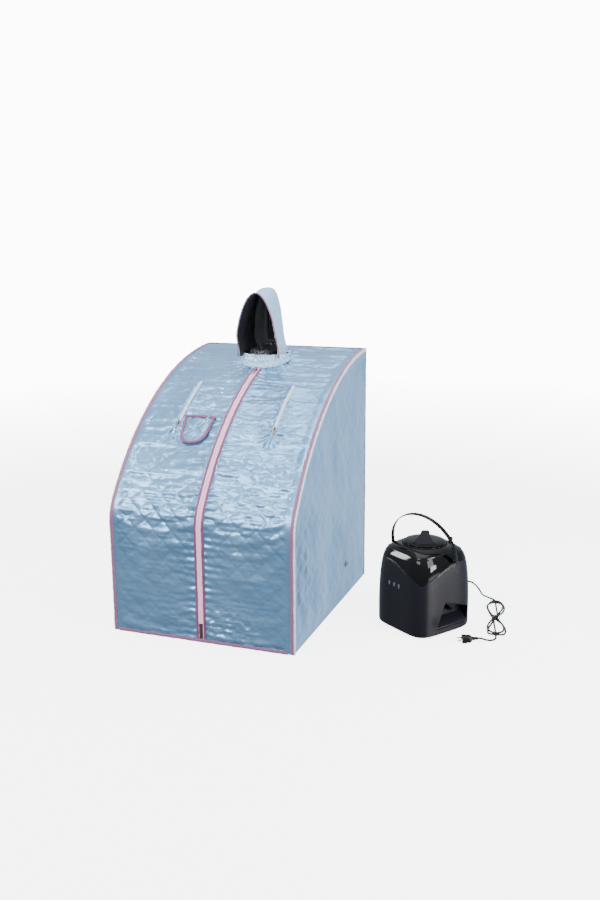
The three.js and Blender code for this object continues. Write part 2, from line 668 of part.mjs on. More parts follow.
for (const i of [0, 1, 2]) {
  const key = roundedBar(BUTTON.width / 2, BUTTON.height / 2, -133.6, -125);
  add(`button_${i + 1}`, key.translate(buttonX(i), 0, BUTTON.z), 'greyPlastic', steamer);
}

// Twist-off lid: a shallow disc with a raised wedge to grip. The wedge is narrow and high at the rear
// and fans out, falling, to the front corner.
function lidSolid() {
  const { radius, bottom } = LID;
  const disc = lathe([
    [0, bottom],
    [radius, bottom],
    [radius, bottom + 4],
    [radius - 3, bottom + 7],
    [radius - 14, bottom + 9.5],
    [0, bottom + 11],
  ], 32);
  const rise = new THREE.Shape();
  rise.moveTo(-62, 0);
  rise.lineTo(66, 0);
  rise.lineTo(66, 5);
  rise.lineTo(-38, 24);
  rise.lineTo(-54, 23);
  rise.lineTo(-62, 12);
  const slab = new THREE.ExtrudeGeometry(rise, { depth: 100, bevelEnabled: false });
  slab.translate(0, 0, -50).rotateX(Math.PI / 2);
  const plan = new THREE.Shape();
  plan.moveTo(-70, -12);
  plan.lineTo(-15, -20);
  plan.lineTo(48, -42);
  plan.absarc(0, 0, Math.hypot(48, 42), -Math.atan2(42, 48), Math.atan2(42, 48));
  plan.lineTo(-15, 20);
  plan.lineTo(-70, 12);
  const fan = new THREE.ExtrudeGeometry(plan, { depth: 30, bevelEnabled: false, curveSegments: 8 });
  const grip = common(fan, slab).rotateZ(-Math.PI / 4).translate(0, 0, bottom + 5);
  return join(disc, grip);
}

add('lid', lidSolid(), 'glossPlastic', steamer);

const sealProfile = [[70, 307.5], [80, 307.5], [80, 314.2], [70, 314.2], [70, 307.5]];
add('lid_seal', lathe(sealProfile, 28), 'rubber', steamer);

// The carry handle is a flat bail over the lid, with an eye at each end on the deck's pivots.
// At rest it leans a little towards the front.
function carryHandle() {
  const { span, thickness: t, width, pivotZ, rise, turn, lean } = HANDLE;
  const outer = span + t;
  const shape = new THREE.Shape();
  shape.moveTo(outer, -9);
  shape.lineTo(outer, rise);
  shape.absarc(0, rise, outer, 0, Math.PI);
  shape.lineTo(-outer, -9);
  shape.lineTo(-span, -9);
  shape.lineTo(-span, rise);
  shape.absarc(0, rise, span, Math.PI, 0, true);
  shape.lineTo(span, -9);
  const strap = new THREE.ExtrudeGeometry(shape, { depth: width, bevelEnabled: false, curveSegments: 18 });
  strap.rotateX(Math.PI / 2).translate(0, width / 2, 0);
  const hole = rod(at(-200, 0, 0), at(200, 0, 0), 4 + GAP, 0, 8);
  return cut(strap, hole).rotateX(lean).rotateZ(turn).translate(0, 0, pivotZ);
}

add('carry_handle', carryHandle(), 'glossPlastic', steamer);

// ---- Mains cord ----------------------------------------------------------------------------------
// World frame: the lead drops from the gland to the floor, folds into a hank, and ends in the plug.

const cordRadius = CORD_DIAMETER / 2;
const lowest = cordRadius + 0.1;
const glandTip = at(GLAND.x, GLAND.inside + GLAND.length + GAP, GLAND.z);
glandTip.applyAxisAngle(Z, STEAMER.turn).add(at(STEAMER.x, STEAMER.y, 0));
const leadOut = at(0, 1, 0).applyAxisAngle(Z, STEAMER.turn);
const hankStart = at(HANK.farX, HANK.farY, 0);
const hankRun = at(HANK.nearX, HANK.nearY, 0).sub(hankStart);
const hankLength = hankRun.length();
const hankAlong = hankRun.clone().normalize();
const hankAcross = at(-hankAlong.y, hankAlong.x, 0);

// A point of a turn about a centre beside one end of the hank, at height z. The angle is taken from
// the hank's across direction.
function turnPoint(end, degrees, z) {
  const out = hankAcross.clone().applyAxisAngle(Z, degrees * DEG).sub(hankAcross);
  return end.clone().addScaledVector(out, CORD_BEND).setZ(z);
}

const leadPoints = [
  glandTip,
  glandTip.clone().addScaledVector(leadOut, 16),
  glandTip.clone().addScaledVector(leadOut, 30).add(at(0, 0, -6)),
  at(854.5, 176, 114),
  at(864, 204, 94),
  at(871, 232, 71),
  at(875.5, 258, 49),
  turnPoint(hankStart, 165, 31),
  turnPoint(hankStart, 130, 18),
  turnPoint(hankStart, 95, 9.5),
  turnPoint(hankStart, 60, 5),
  turnPoint(hankStart, 25, lowest),
  hankStart.clone().addScaledVector(hankAlong, -1.5).setZ(lowest + 1.5),
];
const lead = new THREE.CatmullRomCurve3(leadPoints, false, 'centripetal');
add('cord_lead', tubeAlong(lead, cordRadius, 16, 0, 5), 'rubber');

// A flat bundle with round ends; its narrow middle is where the tie holds it.
function hankSolid() {
  const { halfWidth: w, bottom, top } = HANK;
  const shape = new THREE.Shape();
  shape.moveTo(w, -w);
  shape.lineTo(w, -hankLength + w);
  shape.absarc(0, -hankLength + w, w, 0, -Math.PI, true);
  shape.lineTo(-w, -w);
  shape.absarc(0, -w, w, Math.PI, 0, true);
  const options = { depth: top - bottom, bevelEnabled: false, curveSegments: 8 };
  const solid = new THREE.ExtrudeGeometry(shape, options);
  const turn = Math.atan2(hankAlong.y, hankAlong.x) + Math.PI / 2;
  return solid.rotateZ(turn).translate(HANK.farX, HANK.farY, bottom);
}

add('cord_hank', hankSolid(), 'rubber');

const hankEnd = hankStart.clone().addScaledVector(hankAlong, hankLength);
const PLUG = { x: 929, y: -108, turn: -155 * DEG, girth: 1.25 };
const plugAlong = at(Math.cos(PLUG.turn), Math.sin(PLUG.turn), 0);
const plugCentreZ = 14;
const plugTail = at(PLUG.x, PLUG.y, plugCentreZ);
const tailPoints = [
  hankEnd.clone().addScaledVector(hankAlong, 1.5).setZ(lowest + 1.5),
  ...[-25, -48, -71].map((degrees) => turnPoint(hankEnd, degrees, lowest)),
  plugTail.clone().addScaledVector(plugAlong, -26).setZ(lowest + 3.8),
  plugTail.clone().addScaledVector(plugAlong, -12).setZ(plugCentreZ - 1.4),
  plugTail.clone().addScaledVector(plugAlong, -0.6),
];
const tail = new THREE.CatmullRomCurve3(tailPoints, false, 'centripetal');
add('cord_tail', tubeAlong(tail, cordRadius, 9, 0, 5), 'rubber');

// Two-pin mains plug with a tapered strain relief; X runs from the cord to the pins.
function plugSolid() {
  const relief = lathe([[0, 0], [4.4, 0], [6.5, 22], [0, 22]], 10).rotateY(Math.PI / 2);
  const outline = new THREE.Shape();
  outline.moveTo(20, -7);
  outline.lineTo(30, -12);
  outline.lineTo(56, -13);
  outline.lineTo(58, -11);
  outline.lineTo(58, 11);
  outline.lineTo(56, 13);
  outline.lineTo(30, 12);
  outline.lineTo(20, 7);
  const options = { depth: 17, bevelEnabled: true, bevelSize: 2.5, bevelThickness: 2.5, bevelOffset: -2.5 };
  const body = new THREE.ExtrudeGeometry(outline, { ...options, bevelSegments: 2 }).translate(0, 0, -8.5);
  const pins = [-9.5, 9.5].map((y) => rod(at(50, y, 0), at(76, y, 0), 2.4, 0, 5));
  return join(relief, body, ...pins).scale(1, PLUG.girth, PLUG.girth);
}

const plug = add('plug', plugSolid(), 'rubber');
plug.position.copy(plugTail);
plug.rotation.z = PLUG.turn;

export default sauna;
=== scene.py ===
"""Looks of the portable steam sauna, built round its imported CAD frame.

A satin steam tent with a hood, and a steam generator with its mains cord. Metres, +Z up. The origin is
the centre of the tent floor's underside, and -Y is the tent's zipped front.
"""
import json
import math
from contextlib import contextmanager

import bmesh
import bpy
import numpy as np
from mathutils import Matrix, Vector

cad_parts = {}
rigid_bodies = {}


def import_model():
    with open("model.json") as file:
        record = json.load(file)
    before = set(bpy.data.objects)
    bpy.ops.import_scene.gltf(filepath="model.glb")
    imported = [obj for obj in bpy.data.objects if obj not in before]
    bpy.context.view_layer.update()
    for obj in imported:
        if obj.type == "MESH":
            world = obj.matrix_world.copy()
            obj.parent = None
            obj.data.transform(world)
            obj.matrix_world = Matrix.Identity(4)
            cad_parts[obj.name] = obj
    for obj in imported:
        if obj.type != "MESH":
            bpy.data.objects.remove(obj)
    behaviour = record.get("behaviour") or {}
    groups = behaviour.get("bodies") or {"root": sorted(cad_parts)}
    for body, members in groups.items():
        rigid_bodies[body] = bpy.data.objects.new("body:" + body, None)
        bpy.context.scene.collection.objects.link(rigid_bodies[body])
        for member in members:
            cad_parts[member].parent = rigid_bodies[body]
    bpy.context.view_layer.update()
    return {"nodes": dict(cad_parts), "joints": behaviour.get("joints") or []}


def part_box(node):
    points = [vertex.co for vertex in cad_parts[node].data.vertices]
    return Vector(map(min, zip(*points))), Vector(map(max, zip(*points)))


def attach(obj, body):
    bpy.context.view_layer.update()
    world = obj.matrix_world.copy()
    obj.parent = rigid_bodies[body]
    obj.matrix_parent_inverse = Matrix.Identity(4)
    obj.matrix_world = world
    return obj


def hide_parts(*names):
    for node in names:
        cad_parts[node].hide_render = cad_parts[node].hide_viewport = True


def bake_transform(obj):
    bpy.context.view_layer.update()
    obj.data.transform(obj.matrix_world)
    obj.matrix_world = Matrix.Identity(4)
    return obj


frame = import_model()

JOINTS = {j["name"]: j for j in frame["joints"]}
SIDES = (("left", -1), ("right", 1))


def link_object(name, data, **settings):
    """A new object in the scene, with its settings."""
    thing = bpy.data.objects.new(name, data)
    for key, value in settings.items():
        setattr(thing, key, value)
    bpy.context.scene.collection.objects.link(thing)
    return thing


# ---- Camera ------------------------------------------------------------------------------------

CAMERA = {
    "place": (1.409, -3.201, 1.381),
    "turn": 18.68,  # degrees left of +Y
    "down": 12.15,  # degrees below the horizon
    "lens": 55.78,
    "shift": (-0.0453, -0.0088),
}


def make_camera():
    data = bpy.data.cameras.new("camera")
    data.sensor_fit, data.sensor_width, data.lens = "HORIZONTAL", 36, CAMERA["lens"]
    data.shift_x, data.shift_y = CAMERA["shift"]
    angles = (math.radians(90 - CAMERA["down"]), 0, math.radians(CAMERA["turn"]))
    camera = link_object("camera", data, location=CAMERA["place"], rotation_euler=angles)
    bpy.context.scene.camera = camera


make_camera()

# ---- Small tools -------------------------------------------------------------------------------


def noise(x, y, size_x, size_y, seed):
    """A smooth random field from -1 to 1, with bumps of about size_x by size_y."""
    table = np.random.default_rng(seed).uniform(-1, 1, (64, 64))
    gx, gy = np.asarray(x) / size_x + 500, np.asarray(y) / size_y + 500
    ix, iy = np.floor(gx).astype(int), np.floor(gy).astype(int)
    fx, fy = gx - ix, gy - iy
    fx, fy = fx * fx * (3 - 2 * fx), fy * fy * (3 - 2 * fy)
    corner = [[table[(ix + i) % 64, (iy + j) % 64] for j in (0, 1)] for i in (0, 1)]
    near = corner[0][0] * (1 - fy) + corner[0][1] * fy
    far = corner[1][0] * (1 - fy) + corner[1][1] * fy
    return near * (1 - fx) + far * fx


def step(x, low, high):
    """0 below low, 1 above high, and smooth between."""
    t = np.clip((np.asarray(x, float) - low) / (high - low), 0, 1)
    return t * t * (3 - 2 * t)


def bell(x, centre, width):
    return np.exp(-(((np.asarray(x) - centre) / width) ** 2))


def smooth_path(points, per_span=8, closed=False):
    """A centripetal Catmull-Rom curve through the points, as dense points."""
    pts = [np.array(p, float) for p in points]
    if closed:
        pts = [pts[-1], *pts, pts[0], pts[1]]
    else:
        pts = [2 * pts[0] - pts[1], *pts, 2 * pts[-1] - pts[-2]]
    out = []
    for p0, p1, p2, p3 in zip(pts, pts[1:], pts[2:], pts[3:]):
        t0 = 0.0
        t1 = t0 + math.sqrt(max(np.linalg.norm(p1 - p0), 1e-9))
        t2 = t1 + math.sqrt(max(np.linalg.norm(p2 - p1), 1e-9))
        t3 = t2 + math.sqrt(max(np.linalg.norm(p3 - p2), 1e-9))
        for t in np.linspace(t1, t2, per_span, endpoint=False):
            a1 = (t1 - t) / (t1 - t0) * p0 + (t - t0) / (t1 - t0) * p1
            a2 = (t2 - t) / (t2 - t1) * p1 + (t - t1) / (t2 - t1) * p2
            a3 = (t3 - t) / (t3 - t2) * p2 + (t - t2) / (t3 - t2) * p3
            b1 = (t2 - t) / (t2 - t0) * a1 + (t - t0) / (t2 - t0) * a2
            b2 = (t3 - t) / (t3 - t1) * a2 + (t - t1) / (t3 - t1) * a3
            out.append((t2 - t) / (t2 - t1) * b1 + (t - t1) / (t2 - t1) * b2)
    if not closed:
        out.append(pts[-2])
    return np.array(out)


def new_mesh(name, points, faces, look, body="tent", slot=None, uv=None, place=None, nodes=(),
             smooth=True, solid=False, sharp=None):
    """A mesh piece that rides on a body and stands for CAD nodes.

    look is a look, or the looks of its two sides. uv holds one (u, v) for each point. A solid piece's
    faces all look outwards, and edges over the sharp angle stay crisp.
    """
    mesh = bpy.data.meshes.new(name)
    mesh.from_pydata([tuple(p) for p in np.asarray(points, float).reshape(-1, 3)], [], faces)
    if uv is not None:
        uv = np.asarray(uv, float).reshape(-1, 2)
        loops = np.zeros(len(mesh.loops), np.int32)
        mesh.loops.foreach_get("vertex_index", loops)
        mesh.uv_layers.new(name="UVMap").data.foreach_set("uv", uv[loops].astype(np.float32).ravel())
    mesh.polygons.foreach_set("use_smooth", [smooth] * len(mesh.polygons))
    if place is not None:
        mesh.transform(place)
    mesh.update()
    piece = link_object(name, mesh)
    looks = (look,) if isinstance(look, str) else look
    for side in looks:
        mesh.materials.append(LOOKS[side])
    if body:
        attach(piece, body)
    if nodes:
        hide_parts(*nodes)
    if solid:
        fix_normals(piece)
    if sharp:
        smooth_by_angle(mesh, sharp)
    return piece


def grid_faces(rows, columns, wrap_columns=False, wrap_rows=False, first=0):
    """Quads of a grid of rows x columns points, facing along (row direction) x (column direction)."""
    faces = []
    for i in range(rows if wrap_rows else rows - 1):
        for j in range(columns if wrap_columns else columns - 1):
            a, b = first + i * columns + j, first + i * columns + (j + 1) % columns
            k = (i + 1) % rows
            faces.append((a, first + k * columns + j, first + k * columns + (j + 1) % columns, b))
    return faces


def tube_faces(rows, columns):
    """Faces of a tube of rows loops, capped at both ends."""
    caps = [tuple(range(columns)), tuple(reversed(range((rows - 1) * columns, rows * columns)))]
    return grid_faces(rows, columns, wrap_columns=True) + caps


def ring(count):
    """Angles spaced evenly round a turn."""
    return 2 * math.pi * np.arange(count) / count


def stacked(*parts):
    """Arrays or numbers as the last axis of one array."""
    return np.stack(np.broadcast_arrays(*parts), -1)


def signed_power(value, power):
    return math.copysign(abs(value) ** power, value)


def sweep(name, path, section, normals, look, closed=False, **more):
    """Sweeps a closed section [(across, out), ...] along a path; out follows the given normals."""
    path, normals = np.asarray(path, float), np.asarray(normals, float)
    ahead = np.roll(path, -1, 0) - np.roll(path, 1, 0)
    if not closed:
        ahead[0], ahead[-1] = path[1] - path[0], path[-1] - path[-2]
    ahead /= np.linalg.norm(ahead, axis=1)[:, None]
    across = np.cross(ahead, normals)
    across /= np.linalg.norm(across, axis=1)[:, None]
    out = np.cross(across, ahead)
    section = np.asarray(section, float)
    if section.ndim == 2:
        section = np.repeat(section[None], len(path), 0)
    points = path[:, None] + section[..., :1] * across[:, None] + section[..., 1:] * out[:, None]
    size = points.shape[:2]
    faces = grid_faces(*size, wrap_columns=True, wrap_rows=True) if closed else tube_faces(*size)
    along = np.r_[0, np.cumsum(np.linalg.norm(np.diff(path, axis=0), axis=1))]
    around = np.r_[0, np.cumsum(np.linalg.norm(np.diff(section[0], axis=0), axis=1))]
    uv = stacked(around[None, :], along[:, None])
    return new_mesh(name, points, faces, look, uv=uv, solid=True, **more)


@contextmanager
def editing(mesh):
    """A bmesh of the mesh, written back to it at the end."""
    work = bmesh.new()
    work.from_mesh(mesh)
    yield work
    work.to_mesh(mesh)
    work.free()


def fix_normals(piece):
    with editing(piece.data) as work:
        bmesh.ops.recalc_face_normals(work, faces=work.faces)


def smooth_by_angle(mesh, angle):
    """Smooth shading, with sharp edges where faces meet at more than the angle."""
    with editing(mesh) as work:
        for face in work.faces:
            face.smooth = True
        for edge in work.edges:
            flat = edge.calc_face_angle(0.0) < math.radians(angle)
            edge.smooth = len(edge.link_faces) == 2 and flat


def add_modifier(piece, kind, name, **settings):
    modifier = piece.modifiers.new(name, kind)
    for key, value in settings.items():
        setattr(modifier, key, value)


def apply_modifiers(piece):
    graph = bpy.context.evaluated_depsgraph_get()
    mesh = bpy.data.meshes.new_from_object(piece.evaluated_get(graph))
    piece.modifiers.clear()
    piece.data = mesh


def thicken(piece, thickness, offset=-1.0, **settings):
    add_modifier(piece, "SOLIDIFY", "thickness", thickness=thickness, offset=offset, **settings)


def rounded_rectangle(width, height, radius, steps=4, centre=(0.0, 0.0)):
    """A closed section [(across, out), ...] with rounded corners."""
    points = []
    for quarter, (sx, sy) in enumerate(((1, 1), (-1, 1), (-1, -1), (1, -1))):
        for i in range(steps + 1):
            angle = math.pi / 2 * (quarter + i / steps)
            x = sx * (width / 2 - radius) + radius * math.cos(angle) + centre[0]
            y = sy * (height / 2 - radius) + radius * math.sin(angle) + centre[1]
            points.append((x, y))
    return points


# ---- Materials ---------------------------------------------------------------------------------


class Graph:
    """Adds shader nodes to a tree. An input takes a value or another node's output."""

    def __init__(self, tree):
        self.nodes, self.links = tree.nodes, tree.links

    def feed(self, target, value):
        if isinstance(value, bpy.types.NodeSocket):
            self.links.new(value, target)
        else:
            target.default_value = value

    def add(self, kind, *values, output=0, **named):
        """A new node's output. Capitalised names are its inputs, the others its settings."""
        node = self.nodes.new("ShaderNode" + kind)
        for key, value in named.items():
            if key[0].isupper():
                self.feed(node.inputs[key.replace("_", " ")], value)
            else:
                setattr(node, key, value)
        for target, value in zip(node.inputs, values):
            self.feed(target, value)
        return node.outputs[output]

    def ramp(self, value, stops):
        output = self.add("ValToRGB", value)
        elements = output.node.color_ramp.elements
        for place, _ in stops[1:-1]:
            elements.new(place)
        for element, (place, color) in zip(elements, stops):
            element.position = place
            element.color = (*color, 1)
        return output


class Look(Graph):
    """A node material: a Principled surface, with helpers that add the nodes feeding it."""

    def __init__(self, name, color, **sockets):
        self.material = bpy.data.materials.new(name)
        self.material.use_nodes = True
        self.material.diffuse_color = (*color, 1)
        super().__init__(self.material.node_tree)
        self.surface = self.nodes["Principled BSDF"]
        self.coordinates = self.nodes.new("ShaderNodeTexCoord").outputs
        self.last_bump = None
        self.set(Base_Color=(*color, 1), **sockets)

    def set(self, **sockets):
        for name, value in sockets.items():
            self.feed(self.surface.inputs[name.replace("_", " ")], value)

    def points(self, space="Object", scale=(1, 1, 1), turn=(0, 0, 0)):
        return self.add("Mapping", Vector=self.coordinates[space], Scale=scale, Rotation=turn)

    def noise(self, scale, detail=3.0, points=None, distortion=0.0):
        return self.add("TexNoise", output="Fac", Vector=points or self.points(), Scale=scale,
                        Detail=detail, Roughness=0.55, Distortion=distortion)

    def wave(self, scale, direction, points):
        return self.add("TexWave", output="Fac", bands_direction=direction, Scale=scale, Vector=points)

    def mottle(self, color, scale, detail, depth, low, high):
        """Slow changes of tone, from the colour down to a share darker."""
        deep = tuple(c * (1 - depth) for c in color)
        self.set(Base_Color=self.ramp(self.noise(scale, detail), [(low, deep), (high, color)]))

    def roughness(self, scale, low, high, **more):
        fog = self.noise(scale, **more)
        self.set(Roughness=self.add("MapRange", fog, To_Min=low, To_Max=high))

    def bump(self, height, strength, distance):
        chain = {"Normal": self.last_bump} if self.last_bump else {}
        self.last_bump = self.add("Bump", Strength=strength, Distance=distance, Height=height, **chain)
        self.set(Normal=self.last_bump)


def satin(name, shade, light, metallic=0.65):
    """Woven satin: a fine diagonal weave, crinkles, and slow changes of tone and gloss."""
    look = Look(name, shade, Metallic=metallic, Sheen_Weight=0.25, Sheen_Roughness=0.4,
                Specular_IOR_Level=0.55)
    look.set(Base_Color=look.ramp(look.noise(6.0, 4), [(0.3, shade), (0.7, light)]))
    look.roughness(34.0, 0.25, 0.35)
    weave = look.points("UV", turn=(0, 0, math.radians(27)))
    look.bump(look.wave(900.0, "X", weave), 0.12, 0.0002)
    look.bump(look.noise(160.0, 2), 0.22, 0.0008)
    look.bump(look.noise(1.0, 4, points=look.points("UV", scale=(14, 70, 1))), 0.4, 0.0018)
    look.bump(look.noise(38.0, distortion=0.6), 0.35, 0.0024)
    return look.material


def tape(name, color, rough=0.62, painted_glow=0.0):
    """Ribbed woven tape, with ribs across its length. The tape's emission is painted light: it gives off a
    little of its own colour, so that it shows brighter than the lamps light it.
    """
    look = Look(name, color, Roughness=rough, Sheen_Weight=0.35, Emission_Strength=painted_glow,
                Emission_Color=(*color, 1))
    look.mottle(color, 90.0, 3, 0.16, 0.25, 0.75)
    points, rib = look.points("UV"), 700.0
    look.bump(look.wave(rib, "Y", points), 0.35, 0.0004)
    look.bump(look.wave(rib * 1.3, "X", points), 0.2, 0.0003)
    look.bump(look.noise(120.0, 2), 0.3, 0.0008)
    return look.material


def plastic(name, color, rough, grain=0.0, wear=0.0, gloss=0.5):
    """Moulded plastic: smudges, a faint swell of the surface, and a fine grain where asked."""
    look = Look(name, color, Roughness=rough, Specular_IOR_Level=gloss)
    look.mottle(color, 9.0, 4, 0.12, 0.3, 0.75)
    look.roughness(22.0, max(rough - wear, 0.02), rough + wear, detail=5, distortion=0.4)
    if grain:
        look.bump(look.noise(1400.0, 2), grain, 0.0002)
    look.bump(look.noise(14.0, 1), 0.03, 0.002)
    return look.material


def metal(name, color, rough, brushed=None):
    look = Look(name, color, Metallic=1.0, Roughness=rough)
    look.roughness(60.0, rough * 0.7, rough * 1.4, detail=4)
    look.mottle(color, 40.0, 3, 0.15, 0.2, 0.8)
    if brushed:
        look.bump(look.noise(90.0, 2, points=look.points(scale=brushed)), 0.25, 0.0003)
    return look.material


def powder(name, color, rough=0.4):
    """Powder coat, or a light moulding: fine orange peel and a faint change of tone."""
    look = Look(name, color, Roughness=rough)
    look.mottle(color, 25.0, 3, 0.07, 0.2, 0.8)
    look.roughness(80.0, rough - 0.08, rough + 0.1)
    look.bump(look.noise(900.0, 2), 0.2, 0.0002)
    return look.material


BLUE, PALE_BLUE = (0.175, 0.36, 0.59), (0.25, 0.465, 0.71)
MAUVE, PALE_MAUVE, PINK = (0.28, 0.075, 0.19), (0.38, 0.15, 0.29), (1.0, 0.50, 0.72)

LOOKS = {
    "satin": satin("satin_blue", BLUE, PALE_BLUE),
    "hood_satin": satin("hood_satin_pale", (0.38, 0.64, 0.98), (0.52, 0.76, 1.0), metallic=0.15),
    "lining": satin("lining_black", (0.010, 0.011, 0.013), (0.02, 0.02, 0.024), metallic=0.0),
    "inside": satin("inner_cloth_silver", (0.42, 0.45, 0.5), (0.5, 0.53, 0.57), metallic=0.4),
    "binding": tape("binding_mauve", MAUVE),
    "edge": tape("edge_binding_pale_mauve", PALE_MAUVE),
    # Piping and zip tapes: their emission is painted light, so that they show brighter than the lamps light
    # them.
    "piping": tape("piping_white", (0.88, 0.93, 1.0), rough=0.5, painted_glow=0.2),
    "hood_tape": tape("hood_tape_pink", (0.80, 0.60, 0.71), rough=0.5),
    "zip_pink": tape("zip_tape_pink", PINK, rough=0.55, painted_glow=0.7),
    "zip_white": tape("zip_tape_white", (0.86, 0.90, 0.98), rough=0.5, painted_glow=0.2),
    "zip_tab": tape("end_tab_maroon", (0.07, 0.018, 0.035), rough=0.45),
    "teeth_pink": plastic("coil_pink", (0.9, 0.66, 0.78), 0.3),
    "teeth_white": plastic("coil_white", (0.88, 0.9, 0.95), 0.3),
    "thread": tape("thread_mauve", (0.46, 0.2, 0.32)),
    "nickel": metal("dark_nickel", (0.32, 0.33, 0.36), 0.25, brushed=(1, 8, 1)),
    "tube": powder("tube_coat", (0.72, 0.73, 0.75)),
    "connector": powder("connector_white", (0.82, 0.83, 0.84), 0.5),
    "shell": plastic("shell_dark", (0.011, 0.010, 0.015), 0.34, grain=0.1, wear=0.05, gloss=0.22),
    "lid": plastic("lid_black", (0.003, 0.003, 0.0035), 0.10, wear=0.03, gloss=0.09),
    "gloss": plastic("gloss_black", (0.003, 0.003, 0.0035), 0.06, wear=0.025, gloss=0.22),
    "facet": plastic("facet_satin_black", (0.007, 0.006, 0.009), 0.27, wear=0.03, gloss=0.09),
    "grey": plastic("grey_mark", (0.16, 0.16, 0.18), 0.4),
    "steel": metal("tank_brushed", (0.55, 0.56, 0.58), 0.28, brushed=(1, 1, 30)),
    "heater": metal("heater_cast", (0.5, 0.5, 0.5), 0.5),
    "board": plastic("board_green", (0.025, 0.14, 0.06), 0.45, grain=0.1),
    "rubber": plastic("rubber_black", (0.008, 0.008, 0.009), 0.32, grain=0.12, wear=0.06, gloss=0.35),
    "pin": metal("pin_brass", (0.62, 0.58, 0.5), 0.2),
}


def dress(nodes, look):
    """Gives CAD nodes that stay in view their material and smooth shading."""
    for name in nodes:
        piece = frame["nodes"][name]
        if not piece.material_slots:
            piece.data.materials.append(None)
        for material_slot in piece.material_slots:
            material_slot.link = "OBJECT"
            material_slot.material = LOOKS[look]
        piece.data.polygons.foreach_set("use_smooth", [True] * len(piece.data.polygons))
        piece.data.set_sharp_from_angle(angle=math.radians(35))


# ---- Mains cord --------------------------------------------------------------------------------

CORD = 0.007
CORD_REST = CORD / 2 + 0.0001
GLAND = (0.030, 0.1699, 0.132)  # tip of the gland in the steam generator's own frame
CORD_BEND = 0.028  # radius of the cord's turns beside the hank
HANK_FAR, HANK_NEAR = Vector((0.932, 0.285, 0)), Vector((0.985, -0.060, 0))
PLUG_TAIL, PLUG_TURN = Vector((0.929, -0.108, 0.014)), math.radians(-155)

pivot = Vector(JOINTS["lid_turn"]["pos_m"])
inward = JOINTS["key_1_press"]["axis"]
STEAMER_TURN = math.atan2(inward[1], inward[0]) - math.pi / 2
STEAMER = Matrix.Translation((pivot.x, pivot.y, 0)) @ Matrix.Rotation(STEAMER_TURN, 4, "Z")

hank_along = (HANK_NEAR - HANK_FAR).normalized()
hank_across = Vector((-hank_along.y, hank_along.x, 0))
hank_length = (HANK_NEAR - HANK_FAR).length


def turn_point(end, degrees, z=CORD_REST):
    """A point of a turn about a centre beside one end of the hank."""
    out = Matrix.Rotation(math.radians(degrees), 3, "Z") @ hank_across - hank_across
    point = end + out * CORD_BEND
    return Vector((point.x, point.y, z))


def lead_route():
    """From the gland down to the floor and up to the hank: the CAD's own route."""
    tip = STEAMER @ Vector((GLAND[0], GLAND[1] + 0.0003, GLAND[2]))
    out = (STEAMER.to_3x3() @ Vector((0, 1, 0))).normalized()
    points = [tip, tip + out * 0.016, tip + out * 0.030 + Vector((0, 0, -0.006))]
    points += [Vector(p) for p in (
        (0.8545, 0.176, 0.114),
        (0.864, 0.204, 0.094),
        (0.871, 0.232, 0.071),
        (0.8755, 0.258, 0.049),
    )]
    falling = ((165, 0.031), (130, 0.018), (95, 0.0095), (60, 0.005), (25, CORD_REST))
    return points + [turn_point(HANK_FAR, degrees, z) for degrees, z in falling]


# How far each fold of the hank reaches from its middle, as a share of its half length, from the strand
# that comes in at the far end to the one that leaves at the near end.
FOLDS = (1.0, 0.96, 0.96, 0.86, 0.86, 1.0)


def hank_height(run, share):
    """Height of a strand over the lowest one, in cord layers: the tie's crossing and the folds stack."""
    first_fold, last_fold = 1 - step(share, 0.05, 0.20), step(share, 0.80, 0.95)
    crossing = step(share, 0.37, 0.47) * (1 - step(share, 0.53, 0.63))
    return float((
        last_fold,
        max(first_fold, crossing, last_fold),
        max(first_fold, step(share, 0.53, 0.63)),
        1.0,
        1 - step(share, 0.37, 0.47),
    )[run])


def hank_route(per_run=16):
    """Five runs in figure-of-eight turns that cross at the tie, with a wide fold at each end."""
    half, runs = hank_length / 2 - CORD / 2, 5
    middle = (HANK_FAR + HANK_NEAR) / 2
    points = []
    for run in range(runs):
        for k in range(per_run + (run == runs - 1)):
            share = k / per_run
            theta = math.pi * share
            leaving, entering = run == runs - 1 and share > 0.5, run == 0 and share < 0.5
            reach = FOLDS[run] if share < 0.5 else FOLDS[run + 1]
            along = -half * reach * math.cos(theta) * (-1 if run % 2 else 1)
            wide = 0.031 if reach > 0.9 else 0.0285
            across = -wide * math.sin(2 * theta)
            if entering or leaving:
                along, across = half * (2 * share - 1), 0.0
            across += (0.0074, 0.0037, 0.0, -0.0037, -0.0074)[run] * math.sin(theta) ** 2
            point = middle + hank_along * along + hank_across * across
            points.append(Vector((point.x, point.y, CORD_REST + 0.0071 * hank_height(run, share))))
    return points


def tail_route():
    """From the hank to the plug: the CAD's own route."""
    along = Vector((math.cos(PLUG_TURN), math.sin(PLUG_TURN), 0))
    points = [turn_point(HANK_NEAR, degrees) for degrees in (-25, -48, -71)]
    rise = PLUG_TAIL - along * 0.026
    points.append(Vector((rise.x, rise.y, CORD_REST + 0.0038)))
    points += [PLUG_TAIL - along * 0.012 - Vector((0, 0, 0.0014)), PLUG_TAIL - along * 0.0006]
    return points


def make_cord():
    line = smooth_path(lead_route() + hank_route() + tail_route(), per_span=4)
    curve = bpy.data.curves.new("mains_cord", "CURVE")
    curve.dimensions, curve.bevel_depth, curve.bevel_resolution = "3D", CORD / 2, 4
    spline = curve.splines.new("POLY")
    spline.points.add(len(line) - 1)
    for point, place in zip(spline.points, line):
        point.co = (*place, 1)
    spline.use_smooth = True
    curve.materials.append(LOOKS["rubber"])
    cord = link_object("mains_cord", curve)
    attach(cord, "steamer")
    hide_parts("cord_lead", "cord_hank", "cord_tail")
    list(make_plug())
    make_hank_tie()


